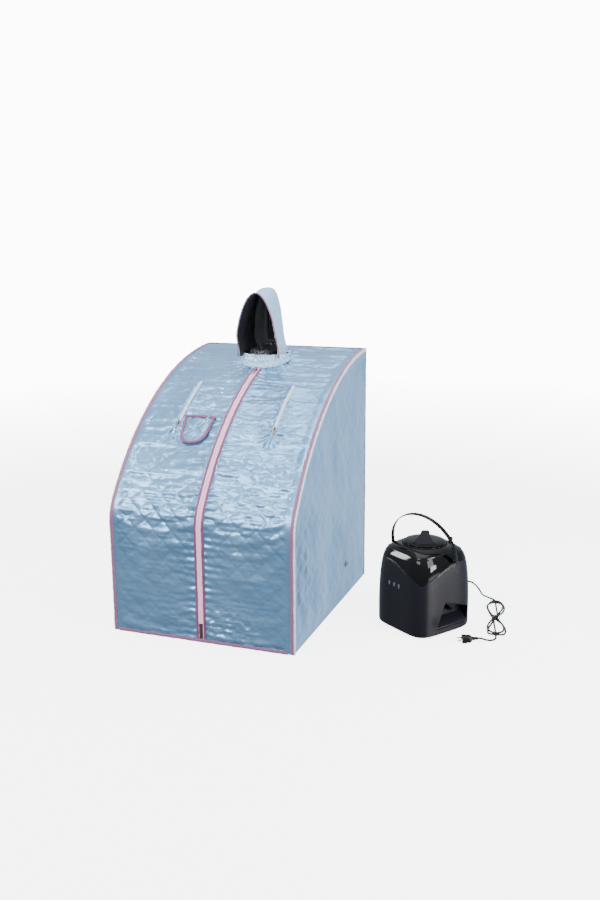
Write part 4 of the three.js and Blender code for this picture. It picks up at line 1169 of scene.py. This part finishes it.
def rounded_profile(corners, radius=0.001, steps=3):
    """A closed profile with each corner rounded by a short arc."""
    out = []
    for i, here in enumerate(corners):
        before, after = np.array(corners[i - 1], float), np.array(corners[i + 1 - len(corners)], float)
        here = np.array(here, float)
        back, on = np.linalg.norm(before - here), np.linalg.norm(after - here)
        reach = min(radius, back * 0.45, on * 0.45)
        a, b = here + (before - here) / back * reach, here + (after - here) / on * reach
        out += [(1 - k) ** 2 * a + 2 * k * (1 - k) * here + k**2 * b for k in np.linspace(0, 1, steps + 1)]
    return out


CORE = 0.0003  # inner radius of a turned piece that is closed at its axis


def turned_block(radius, low, high):
    """The profile of a plain disc or column."""
    return [(CORE, low), (radius, low), (radius, high), (CORE, high)]


def make_hose_port():
    """Stitched cloth ring with a sleeve that the steam hose goes through."""
    low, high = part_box("hose_port")
    centre = Vector((HALF_WIDTH, (low.y + high.y) / 2, (low.z + high.z) / 2))
    place = Matrix.Translation(centre) @ Matrix.Rotation(math.pi / 2, 4, "Y")
    corners = [(0.007, -0.0078), (0.0088, -0.0078), (0.0088, 0.0004), (0.0139, 0.0004),
               (0.0139, 0.0022), (0.007, 0.0022)]
    lathe("hose_port_ring", rounded_profile(corners, 0.0007), "satin", "tent", place, nodes=["hose_port"])
    angle = np.linspace(0, 2 * math.pi, 60)
    hoop = stacked(centre.x + 0.0023, centre.y + 0.0118 * np.cos(angle), centre.z + 0.0118 * np.sin(angle))
    stitch_line("hose_port_stitch", hoop, (1, 0, 0), pitch=0.0032)
    lathe("hose_port_flap", turned_block(0.0066, -0.0070, -0.0060), "lining", "tent", place,
          slot="satin_cloth")


make_pocket()
make_hose_port()

# ---- Hood and collar ---------------------------------------------------------------------------

(_, HOOD_FRONT, HOOD_FOOT), (HOOD_HALF, HOOD_BACK, HOOD_TOP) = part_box("hood")
HOOD_TALL = HOOD_TOP - HOOD_FOOT
COLLAR_TOP = NECK_HIGH.z


def hood_arch(t, square=0.0):
    """Half arch of the hood from its foot (t 0) to the ridge (t 1): across and up, as shares."""
    first, second = 3 * (1 - t) ** 2 * t, 3 * (1 - t) * t**2
    across = (1 - t) ** 3 + first * (0.94 - 0.12 * square) + second * (0.52 + 0.12 * square)
    return across, first * (0.53 + 0.15 * square) + second * (0.98 + 0.08 * square) + t**3


def hood_point(u, v):
    """u runs from the left foot (-1) over the ridge (0) to the right foot (1), v front to back."""
    across, up = hood_arch(1 - np.abs(u), step(v, 0.0, 0.55))
    closing = np.sqrt(np.clip(1 - (np.clip(v - 0.74, 0, 1) / 0.26) ** 2.2, 0, 1))
    rear_rise = 1 + 0.065 * step(v, 0.0, 0.6) - 0.02 * step(v, 0.8, 1.0)
    foot = 1 - step(up, 0.0, 0.30)
    narrow = (1 - 0.07 * foot) * (1 - 0.18 * np.clip(v, 0, 1)) * np.where(np.asarray(u) > 0, 0.95, 1.0)
    x = np.sign(u) * across * closing * narrow * HOOD_HALF - 0.012 * step(up, 0.0, 0.35) - 0.004
    front = HOOD_FRONT + 0.004 * np.sin(math.pi * np.clip(up, 0, 1)) + 0.001
    y = front + (HOOD_BACK - 0.001 - front) * (0.18 * v + 0.82 * np.sin(v * math.pi / 2))
    return x, y, HOOD_FOOT + up * HOOD_TALL * rear_rise


def make_hood():
    """Satin hood with a black lining: two panels that meet in a ridge seam, open at the face."""
    u, v = np.meshgrid(np.linspace(-1, 1, 121), np.linspace(0, 1, 61))
    x, y, z = hood_point(u, v)
    flare = 0.0045 * step(np.abs(u), 0.82, 1.0) * (0.4 + 0.6 * noise(u * 0.2, v * 0.15, 0.02, 0.02, 111))
    soft = 0.0026 * noise(u * 0.3, v * 0.15, 0.10, 0.05, 112)
    soft += 0.0012 * noise(u * 0.3, v * 0.15, 0.03, 0.02, 113)
    ridge = 0.0016 * np.exp(-((u / 0.02) ** 2))
    calm = step(v, 0.0, 0.12) * (1 - 0.7 * step(v, 0.85, 1.0))
    away = stacked(x / HOOD_HALF, 0.0, (z - HOOD_FOOT) / HOOD_TALL)
    away /= np.maximum(np.linalg.norm(away, axis=-1, keepdims=True), 1e-6)
    points = stacked(x, y, z) + away * ((soft - 0.002) * calm + ridge + flare)[..., None]
    points[..., 2] -= 0.012 * step(np.abs(u), 0.93, 1.0) * (1 - step(v, 0.25, 0.8))
    hood = new_mesh("hood_cloth_piece", points, grid_faces(*u.shape), ("hood_satin", "lining"),
                    "hood_cloth", uv=stacked(u * 0.3, v * 0.16), nodes=["hood"])
    with editing(hood.data) as work:
        bmesh.ops.remove_doubles(work, verts=work.verts, dist=0.0003)
    fix_normals(hood)
    orient_outward(hood, Vector((0, (HOOD_FRONT + HOOD_BACK) / 2, HOOD_FOOT + 0.08)))
    thicken(hood, 0.0028, material_offset=1)


def make_hood_trims():
    """Pink tape and mauve bead round the hood's face, and the stitches of its ridge seam."""
    u = np.linspace(-1, 1, 110)
    x, y, z = hood_point(u, 0 * u)
    z = z - 0.014 * step(np.abs(u), 0.93, 1.0)
    x = x * (1 + 0.05 * step(np.abs(u), 0.9, 1.0))
    path = stacked(x, y - 0.0006, z)
    outward = stacked(x / HOOD_HALF, -0.15, (z - HOOD_FOOT) / HOOD_TALL + 0.05)
    along = np.linspace(0, 0.56, len(path))
    sweep("hood_edge_tape", path + [0, 0.0052, 0],
          puckered(rounded_rectangle(0.0115, 0.0022, 0.001, 3), along, 116), outward, "hood_tape",
          body="hood_cloth", nodes=["hood_binding"])
    sweep("hood_edge_bead", path, puckered(rounded_rectangle(0.0036, 0.0042, 0.0017, 4), along, 117),
          outward, "binding", body="hood_cloth")
    v = np.linspace(0.03, 0.97, 40)
    x, y, z = hood_point(0 * v, v)
    stitch_line("hood_ridge_stitch", stacked(x, y, z + 0.0006), (0, 0, 1), "teeth_white",
                body="hood_cloth", slot="hood_satin")


def orient_outward(piece, centre):
    mesh = piece.data
    mesh.update()
    if sum((p.center - centre).dot(p.normal) * p.area for p in mesh.polygons) < 0:
        mesh.flip_normals()


def neck_grid(around, levels, start=0.0, end=2 * math.pi):
    """Angles round the neck by levels up it, as shares, and the cloth's uv there."""
    angles = np.linspace(start, end, around, endpoint=end < 2 * math.pi)
    angle, level = np.meshgrid(angles, np.linspace(0, 1, levels))
    return angle, level, stacked(angle * 0.09, level * 0.05)


def neck_ring(angle, grow=0.0):
    return (NECK_A + grow) * np.cos(angle), NECK_Y + (NECK_B + grow) * np.sin(angle)


def make_collar():
    """Gathered satin collar that rises from the roof into the hood."""
    angle, level, uv = neck_grid(240, 22)
    gathers = np.sin(31 * angle + 2.2 * noise(angle, level * 0, 0.4, 1, 121))
    in_front = bell(angle, 1.5 * math.pi, 0.5)
    flare = 0.010 * (1 - level) ** 2.5
    body = 0.0024 * np.sin(level * math.pi) - 0.0030 * bell(level, 0.36, 0.12)
    wrinkle = 0.0024 * gathers + 0.0024 * noise(angle, level * 0.05, 0.09, 0.02, 122)
    wrinkle = wrinkle * (0.35 + 0.65 * bell(level, 0.25, 0.35)) * (1 - 0.55 * in_front)
    wrinkle += 0.0042 * in_front * crumple(angle * 0.09, level * 0.05, 0.022, 123)
    x, y = neck_ring(angle, flare + body + wrinkle + 0.0005)
    roof_z = outline(np.vectorize(s_at)(np.clip(y, -0.2, HALF_DEPTH - 0.01)))[1]
    top = COLLAR_TOP + 0.0015 * noise(angle, 0 * angle, 0.2, 1, 124)
    z = roof_z + 0.0008 + (top - roof_z - 0.0008) * level
    z = np.where(level == 0, roof_z - 0.0005, z)
    collar = new_mesh("neck_gathers", stacked(x, y, z), grid_faces(*x.shape, wrap_columns=True),
                      ("hood_satin", "lining"), uv=uv, nodes=["neck_collar"], solid=True)
    orient_outward(collar, Vector((0, NECK_Y, 0.93)))
    thicken(collar, 0.0022, material_offset=1)


def make_neck_lining():
    """Crumpled black lining that puffs up inside the collar's rim."""
    angle, level, uv = neck_grid(200, 16)
    rough = crumple(angle * 0.09, level * 0.05, 0.02, 131)
    grow = -0.0175 - 0.012 * level**2 + 0.0035 * rough - 0.006 * bell(np.cos(angle), 1.0, 0.5)
    x, y = neck_ring(angle, grow)
    z = COLLAR_TOP - 0.035 + 0.050 * level + 0.0035 * noise(angle, 0 * level, 0.13, 1, 132) * level
    z = z + 0.016 * bell(angle, math.pi / 2, 0.9) * level
    y = y + 0.0015 * noise(angle, level, 0.1, 0.3, 133)
    lining = new_mesh("neck_lining", stacked(x, y, z), grid_faces(*x.shape, wrap_columns=True),
                      "lining", uv=uv, solid=True)
    thicken(lining, 0.0012)


def make_gusset():
    """The cloth hinge between the collar's rear and the hood's rear foot."""
    angle, level, uv = neck_grid(60, 16, 0.22 * math.pi, 0.78 * math.pi)
    x, y = neck_ring(angle, -0.0045 + 0.0008 * noise(angle, level * 0.03, 0.08, 0.02, 141))
    bottom, top = COLLAR_TOP - 0.012, HOOD_FOOT + 0.014
    points = stacked(x, np.minimum(y, HOOD_BACK - 0.004), bottom + (top - bottom) * level)
    gusset = new_mesh("hood_gusset", points, grid_faces(*x.shape), ("hood_satin", "lining"), body=None,
                      uv=uv * [1, 0.54])
    orient(gusset, Vector((0, 1, 0)))
    thicken(gusset, 0.0010, offset=0.0, material_offset=1)
    apply_modifiers(gusset)
    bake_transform(gusset)


make_hood()
make_hood_trims()
make_collar()
make_neck_lining()
make_gusset()

# ---- Tube frame --------------------------------------------------------------------------------

dress([n for n in frame["nodes"] if n.startswith(("base_rail", "back_post", "hoop", "top_rail"))], "tube")
dress([n for n in frame["nodes"] if n.startswith("corner_")], "connector")

# ---- Steam generator ---------------------------------------------------------------------------
# Local frame: X towards the recess, -Y towards the buttons, and the front corner between them.

SHELL = [(0.134, 0.0123), (0.1345, 0.090), (0.1335, 0.150), (0.1305, 0.205), (0.1255, 0.247),
         (0.119, 0.275), (0.109, 0.295), (0.097, 0.307), (0.087, 0.312), (0.082, 0.312)]
SHELL_LINE = smooth_path([(r, z, 0.0) for r, z in SHELL], per_span=10)[:, :2]
SIDE_LINE = SHELL_LINE[:60]  # the part below the shoulder
TRAY_TOP, WAIST, CREST = 0.0123, 0.2955, 0.3118  # heights: the shell's foot, its shoulder and its top
DECK_EDGE, BEAK_TIP, BEAK_HALF = 0.262, 0.200, 0.100
SEAM, LIP = 0.0004, 0.0009  # half the seam's gap, and the rounding of the edges beside it
BORE = 0.084
AROUND = ring(160)
PORT_Z, GLAND_X, OUTLET_Y = 0.084, 0.030, 0.030
PIVOT_Z, HANDLE_TURN, HANDLE_LEAN = 0.272, math.radians(13), math.radians(15)


def squareness(radius, angle):
    """Scale that turns the round section into a rounded square, fading to round near the lid."""
    power = 2 + 3 * step(radius, 0.086, 0.116)
    total = np.abs(np.cos(angle)) ** power + np.abs(np.sin(angle)) ** power
    return total ** (-1 / power)


def shell_row(radius, z):
    """A loop of points round the steam generator."""
    wide = radius * squareness(radius, AROUND)
    return stacked(wide * np.cos(AROUND), wide * np.sin(AROUND), z)


def side_row(z, inset=0.0):
    """A loop on the shell's side, moved in by the inset."""
    return shell_row(np.interp(z, SIDE_LINE[:, 1], SIDE_LINE[:, 0]) - inset, z)


def bore_row(z):
    return stacked(BORE * np.cos(AROUND), BORE * np.sin(AROUND), z)


def seam_height():
    """Height of the seam under the glossy deck: level, with a pointed beak on the front corner."""
    height = np.full_like(AROUND, DECK_EDGE)
    for _ in range(6):
        x, y, _ = side_row(height).T
        ahead, aside = (x - y) / math.sqrt(2), np.abs(x + y) / math.sqrt(2)
        soft = np.sqrt(aside**2 + 0.006**2) - 0.006
        beak = BEAK_TIP + soft * (DECK_EDGE - BEAK_TIP) / BEAK_HALF
        blunt = DECK_EDGE - 0.004 * np.log1p(np.exp((DECK_EDGE - beak) / 0.004))
        height = np.where(ahead > 0, np.minimum(blunt, DECK_EDGE), DECK_EDGE)
    return height


def ring_piece(name, rows, look, node):
    """A closed ring from rows of points, each row one loop round the steam generator."""
    faces = grid_faces(len(rows), len(AROUND), wrap_columns=True, wrap_rows=True)
    return new_mesh(name, np.stack(rows), faces, look, "steamer", place=STEAMER, nodes=[node], solid=True)


def spot(x, y, z, *turns):
    """A frame on the steam generator: a place, then turns as (angle, axis)."""
    place = STEAMER @ Matrix.Translation((x, y, z))
    for angle, axis in turns:
        place = place @ Matrix.Rotation(angle, 4, axis)
    return place


def prism(name, profile, low, high, axis):
    """An outline in the other two axes, run along one axis of the steam generator."""
    points = [np.insert((a, b), "xyz".index(axis), level) for level in (low, high) for a, b in profile]
    mesh = bpy.data.meshes.new(name)
    mesh.from_pydata([tuple(map(float, p)) for p in points], [], tube_faces(2, len(profile)))
    mesh.transform(STEAMER)
    tool = link_object(name, mesh)
    fix_normals(tool)
    return tool


def carve(piece, tools):
    for number, tool in enumerate(tools):
        add_modifier(piece, "BOOLEAN", f"cut_{number}", operation="DIFFERENCE", solver="EXACT", object=tool)
    apply_modifiers(piece)
    for tool in tools:
        bpy.data.objects.remove(tool)


RECESS = [(-0.056, 0.027), (0.104, 0.027), (0.104, 0.084), (-0.014, 0.126)]
RECESS_BACK = 0.090
SHELF = [(0.080, 0.0), (0.080, 0.062), (0.090, 0.056), (0.142, 0.026), (0.142, 0.0)]
BUTTON_X, BUTTON_Z = (-0.039, -0.013, 0.013), 0.175
BUTTON_HALF = (0.0045, 0.008)


def key_outline(x, grow):
    """A round-ended key's outline, grown all round."""
    half_x, half_z = (half + grow for half in BUTTON_HALF)
    return [(x + way * half_x * math.cos(angle),
             BUTTON_Z + way * (half_z - half_x + half_x * math.sin(angle)))
            for way in (1, -1) for angle in np.linspace(0, math.pi, 11)]


def circle(radius, x, z):
    return [(x + radius * math.cos(a), z + radius * math.sin(a)) for a in ring(24)]


def make_shell():
    """The dark lower shell, with its recess and the holes for the keys, outlet and gland."""
    seam = seam_height() - SEAM
    low = TRAY_TOP + 0.001
    rows = [shell_row(0.1332, TRAY_TOP)]
    rows += [side_row(low + (seam - LIP - low) * share) for share in np.linspace(0, 1, 30)]
    for inset, rise in ((0.0003, 0.6), (0.0009, 0.95), (0.0025, 1.0), (0.012, 1.0)):
        rows.append(side_row(seam - LIP * (1 - rise), inset))
    rows += [bore_row(seam), bore_row(TRAY_TOP)]
    shell = ring_piece("steamer_shell", rows, "shell", "steamer_body")
    tools = [prism("cut_recess", RECESS, RECESS_BACK, 0.2, "x"),
             prism("cut_outlet", circle(0.0084, OUTLET_Y, PORT_Z), 0.060, 0.130, "x"),
             prism("cut_gland", circle(0.0063, GLAND_X, GLAND[2]), 0.118, 0.16, "y")]
    tools += [prism("cut_button", key_outline(x, 0.0005), -0.15, -0.1215, "y") for x in BUTTON_X]
    carve(shell, tools)
    smooth_by_angle(shell.data, 32)


def make_shelf():
    """The sloped ledge on the recess floor, trimmed to the shell."""
    shelf = prism("recess_shelf", SHELF, RECESS[0][0] + 0.0005, RECESS[1][0] - 0.0005, "y")
    shelf.data.materials.append(LOOKS["shell"])
    beyond = [(-0.3, -0.1), (0.3, -0.1), (0.3, 0.2), (-0.3, 0.2)]
    below = [(-0.3, -0.1), (0.3, -0.1), (0.3, 0.0275), (-0.3, 0.0275)]
    carve(shelf, [prism("cut_beyond", beyond, 0.1315, 0.3, "x"), prism("cut_below", below, 0.0, 0.3, "x")])
    add_modifier(shelf, "BEVEL", "edges", width=0.0012, segments=3, limit_method="ANGLE")
    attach(shelf, "steamer")
    smooth_by_angle(shelf.data, 30)


def make_deck():
    """The glossy shoulder with its beak, the opening for the lid, pivots and vent knob."""
    seam = seam_height() + SEAM
    rows = [side_row(seam + LIP * rise, inset)
            for inset, rise in ((0.012, 0.0), (0.0025, 0.0), (0.0009, 0.05), (0.0003, 0.4))]
    rows += [side_row(seam + LIP + (WAIST - seam - LIP) * share) for share in np.linspace(0, 1, 26)]
    crest = int(np.argmax(SHELL_LINE[:, 1] > CREST))
    rows += [shell_row(radius, z) for radius, z in SHELL_LINE[:crest + 1] if z > WAIST + 0.0005]
    rows += [shell_row(radius, z) for radius, z in ((0.0865, 0.3121), (0.0838, 0.3119), (0.0824, 0.3112),
                                                    (0.0820, 0.3100), (0.0820, 0.3060))]
    deck = ring_piece("steamer_shoulder", [*rows, bore_row(0.3030), bore_row(seam)], "gloss",
                      "steamer_deck")
    smooth_by_angle(deck.data, 38)
    boss = [(CORE, 0.112), (0.0039, 0.112), (0.0039, 0.1400), (0.0033, 0.1404), (CORE, 0.1404)]
    for side, sign in SIDES:
        lathe(f"pivot_{side}", boss, "gloss", "steamer",
              spot(0, 0, PIVOT_Z, (HANDLE_TURN, "Z"), (sign * math.pi / 2, "Y")), steps=32)
    knob = [(CORE, 0.296), (0.006, 0.296), (0.006, 0.3125), (0.009, 0.314), (0.009, 0.320),
            (0.006, 0.323), (CORE, 0.323)]
    lathe("vent_knob", rounded_profile(knob, 0.0012), "gloss", "steamer", spot(0.034, 0.098, 0), steps=40)


def make_base():
    """Bottom tray with four rubber-soled feet, and the heater's pedestal."""
    corners = [(CORE, 0.004), (0.129, 0.004), (0.133, 0.008), (0.133, 0.012), (CORE, 0.012)]
    lathe("steamer_tray", rounded_profile(corners, 0.0012), "shell", "steamer", STEAMER,
          steps=len(AROUND), section=squareness, nodes=["steamer_base"])
    foot = rounded_profile([(CORE, 0.0), (0.011, 0.0), (0.013, 0.005), (CORE, 0.005)], 0.001)
    for number, (x, y) in enumerate(((-1, -1), (-1, 1), (1, -1), (1, 1))):
        lathe(f"foot_{number + 1}", foot, "rubber", "steamer", spot(0.088 * x, 0.088 * y, 0), steps=40)
    pedestal = [(0.058, 0.0125), (0.066, 0.0125), (0.066, 0.048), (0.058, 0.048)]
    lathe("heater_pedestal", rounded_profile(pedestal, 0.0008), "shell", "steamer", STEAMER)


def make_grip(bottom):
    """Raised wedge, narrow and high at the lid's rear, that fans out and falls to the front corner."""
    stations, columns, front_reach = 60, 45, math.hypot(0.048, 0.042)
    rows = []
    for x in np.linspace(-0.062, 0.0636, stations):
        wide = min(np.interp(x, [-0.062, -0.015, 0.048, 0.064], [0.0125, 0.020, 0.042, 0.045]),
                   math.sqrt(max(front_reach**2 - x**2, 0.003**2)))
        rise = np.interp(x, [-0.062, -0.056, -0.052, -0.046, -0.038, 0.066],
                         [0.014, 0.0215, 0.0232, 0.0240, 0.0238, 0.0048])
        rows += [(x, wide * signed_power(math.cos(a), 0.2), bottom + 0.005 + rise * abs(math.sin(a)) ** 0.3)
                 for a in np.linspace(0, math.pi, columns - 2)]
        rows += [(x, -wide, bottom + 0.004), (x, wide, bottom + 0.004)]
    new_mesh("lid_grip", rows, tube_faces(stations, columns), "facet", "lid_cap",
             place=spot(0, 0, 0, (-math.pi / 4, "Z")), solid=True, sharp=50)


def make_lid():
    """Turned lid with a rolled rim and a wedge to grip, and its ribbed seal."""
    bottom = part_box("lid")[0].z
    profile = [(CORE, 0), (0.077, 0), (0.078, 0.001), (0.078, 0.0036), (0.0772, 0.0048), (0.075, 0.0062),
               (0.0735, 0.0060), (0.071, 0.0072), (0.064, 0.0093), (0.045, 0.0104), (0.02, 0.0109),
               (CORE, 0.011)]
    lathe("lid_disc", [(r, bottom + z) for r, z in profile], "lid", "lid_cap", STEAMER, steps=128,
          sharp=50, nodes=["lid"])
    make_grip(bottom)
    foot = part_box("lid_seal")[0].z
    ribs = [(0.0700, 0), (0.0795, 0), (0.0799, 0.0012), (0.0788, 0.0022), (0.0799, 0.0032),
            (0.0788, 0.0044), (0.0798, 0.0056), (0.0792, 0.0066), (0.0702, 0.0066)]
    lathe("seal_ring", [(r, foot + z) for r, z in ribs], "rubber", "seal", STEAMER, steps=128,
          nodes=["lid_seal"])


def make_handle():
    """Flat bail with rounded edges and round ends on the deck's pivots."""
    radius, thick, rise, wide, end = 0.139, 0.004, 0.022, 0.0170, 0.0092
    leg, width = [], []
    for z in np.linspace(-0.0085, rise, 14)[:-1]:
        leg.append((radius, 0, z))
        width.append(wide if z > 0.004 else 2 * math.sqrt(max(end**2 - min(z, 0.0) ** 2, 0.003**2)))
    bow = np.linspace(0, math.pi, 72)
    arch = [(radius * math.cos(a), 0, rise + radius * math.sin(a)) for a in bow]
    path = np.array([*leg, *arch, *((-x, y, z) for x, y, z in reversed(leg))])
    width = [*width, *(wide - 0.0022 * np.sin(bow) ** 2), *reversed(width)]
    normals = path - [0, 0, rise]
    normals[:, 2] = np.maximum(normals[:, 2], 0)
    sections = np.array([rounded_rectangle(w, thick, 0.0016, 4) for w in width])
    pose = spot(0, 0, PIVOT_Z, (HANDLE_TURN, "Z"), (HANDLE_LEAN, "X"))
    sweep("carry_bail", [tuple(pose @ Vector(p)) for p in path], sections,
          [tuple(pose.to_3x3() @ Vector(n)) for n in normals], "gloss", body="handle",
          nodes=["carry_handle"], sharp=45)


def make_buttons():
    """Three plain keys with rolled edges and a slightly dished face."""
    levels = ((0.0, -0.125), (0.0, -0.1330), (0.0003, -0.1335), (0.001, -0.1337), (0.0024, -0.1334))
    for number, x in enumerate(BUTTON_X, 1):
        points = np.array([[(a, y, b) for a, b in key_outline(x, -inset)] for inset, y in levels])
        new_mesh(f"key_cap_{number}", points, tube_faces(*points.shape[:2]), "grey", f"key_{number}",
                 place=STEAMER, nodes=[f"button_{number}"], solid=True, sharp=40)


def make_gland():
    """Ribbed strain relief with a round collar, and the outlet's nozzle."""
    rows = [(CORE, 0.0), (0.006, 0.0), (0.006, 0.011), (0.0080, 0.0113), (0.0082, 0.0138), (0.0066, 0.0158)]
    for rib in range(6):
        start, size = 0.0175 + rib * 0.0046, 0.0060 - rib * 0.00030
        rows += [(size, start), (size, start + 0.0026), (size - 0.0012, start + 0.0030),
                 (size - 0.0012, start + 0.0042)]
    rows += [(0.0042, 0.0455), (0.0039, 0.046), (CORE, 0.046)]
    lathe("strain_relief", rows, "rubber", "steamer",
          spot(GLAND_X, 0.1236, GLAND[2], (-math.pi / 2, "X")), steps=40, sharp=35, nodes=["cord_gland"])
    outlet = [(0.0055, 0.0), (0.008, 0.0), (0.008, 0.024), (0.0068, 0.034), (0.0055, 0.034)]
    lathe("outlet_nozzle", rounded_profile(outlet, 0.0006), "shell", "steamer",
          spot(0.084, OUTLET_Y, PORT_Z, (math.pi / 2, "Y")), steps=48, slot="grey_plastic",
          nodes=["steam_outlet"])


make_shell()
make_shelf()
make_deck()
make_base()
make_lid()
make_handle()
make_buttons()
make_gland()
dress(["water_tank"], "steel")
dress(["heating_plate"], "heater")
dress(["control_board"], "board")

# ---- Floor, lights and background --------------------------------------------------------------


def make_floor():
    """A pale disc that gives light of its own and fades out far from the object."""
    rings, around, top = 24, 96, -0.0005
    rows = [(9.0 * k / rings * math.cos(a), 9.0 * k / rings * math.sin(a), top)
            for k in range(1, rings + 1) for a in ring(around)]
    faces = [(0, 1 + j, 1 + (j + 1) % around) for j in range(around)]
    faces += grid_faces(rings, around, wrap_columns=True, first=1)
    mesh = bpy.data.meshes.new("studio_floor")
    mesh.from_pydata([(0, 0, top), *rows], [], faces)
    look = Look("floor_pale", (0.9, 0.9, 0.9), Roughness=0.7, Emission_Color=(1, 1, 1, 1),
                Emission_Strength=4.5)
    far = look.add("VectorMath", look.coordinates["Object"], output="Value", operation="LENGTH")
    fade = look.add("MapRange", far, From_Min=2.2, From_Max=6.5)
    mix = look.add("MixShader", fade, look.surface.outputs[0], look.add("BsdfTransparent"))
    look.feed(look.nodes["Material Output"].inputs["Surface"], mix)
    mesh.materials.append(look.material)
    link_object("studio_floor", mesh, visible_glossy=False, visible_diffuse=False)


def make_world():
    """White to the camera, and a soft grey dome, brighter overhead and low behind, to the object."""
    world = bpy.data.worlds.new("studio")
    bpy.context.scene.world = world
    world.use_nodes = True
    graph = Graph(world.node_tree)
    _, y, z = graph.add("SeparateXYZ", graph.add("TexCoord", output="Generated")).node.outputs
    levels = ((0.0, 0.25), (0.12, 0.35), (0.31, 0.42), (0.52, 0.52), (0.72, 0.66), (1.0, 0.88))
    shades = graph.ramp(graph.add("MapRange", z, From_Min=-0.45),
                        [(place, (level * 0.88, level * 0.96, level * 1.06)) for place, level in levels])
    dome = graph.add("Background", Color=shades, Strength=1.5)
    backdrop = graph.add("Background", Color=(0.76, 0.96, 1.14, 1), Strength=1.3)
    behind = graph.add("MapRange", y, From_Min=0.15, From_Max=0.95, interpolation_type="SMOOTHSTEP")
    beneath = graph.add("MapRange", z, From_Min=0.25, From_Max=-0.10)
    low_behind = graph.add("Math", behind, beneath, operation="MULTIPLY")
    surround = graph.add("MixShader", low_behind, dome, backdrop)
    white = graph.add("Background", Color=(1, 1, 1, 1), Strength=12.0)
    seen = graph.add("LightPath", output="Is Camera Ray")
    graph.feed(graph.nodes["World Output"].inputs["Surface"], graph.add("MixShader", seen, surround, white))


def aimed(place, aim):
    """The location and rotation that look from a place at an aim."""
    turn = (Vector(aim) - Vector(place)).to_track_quat("-Z", "Y").to_euler()
    return {"location": place, "rotation_euler": turn}


def area_light(name, place, aim, size, power):
    data = bpy.data.lights.new(name, "AREA")
    data.shape, data.energy = "RECTANGLE", power
    data.size, data.size_y = size
    link_object(name, data, **aimed(place, aim))


def reflector(name, place, aim, size, strength):
    """A glowing card that only shows in reflections."""
    wide, tall = size[0] / 2, size[1] / 2
    corners = [(-wide, -tall, 0), (wide, -tall, 0), (wide, tall, 0), (-wide, tall, 0)]
    mesh = bpy.data.meshes.new(name)
    mesh.from_pydata(corners, [], [(0, 1, 2, 3)])
    look = Look(name, (0, 0, 0), Emission_Color=(1, 1, 1, 1), Emission_Strength=strength)
    mesh.materials.append(look.material)
    link_object(name, mesh, visible_camera=False, visible_diffuse=False, visible_shadow=False,
                         **aimed(place, aim))


make_floor()
make_world()
area_light("key", (-1.5, -3.3, 2.7), (0.0, 0, 0.5), (2.2, 1.2), 95)
area_light("top", (0.2, 0.4, 3.4), (0.1, 0, 0.5), (2.4, 2.0), 40)
area_light("side", (3.4, -0.9, 1.5), (0.4, 0, 0.4), (1.4, 1.8), 95)
area_light("window", (-0.7, -0.9, 3.1), (0.7, 0, 0.3), (0.26, 0.20), 14)
reflector("card_left", (-2.22, -0.40, 1.19), (0.62, -0.08, 0.28), (0.34, 0.95), 40)
reflector("card_right", (3.74, -0.49, 0.39), (0.76, -0.12, 0.25), (0.85, 0.50), 45)
reflector("card_low", (4.2, -0.7, -0.95), (0.70, 0.0, 0.15), (2.2, 1.5), 5)
for piece in bpy.context.scene.objects:
    if piece.name.startswith(("side_cloth", "piping", "edge_", "front_cloth", "back_cloth", "floor_cloth",
                              "base_rail", "back_post", "hoop", "top_rail", "corner_")):
        piece.visible_glossy = False
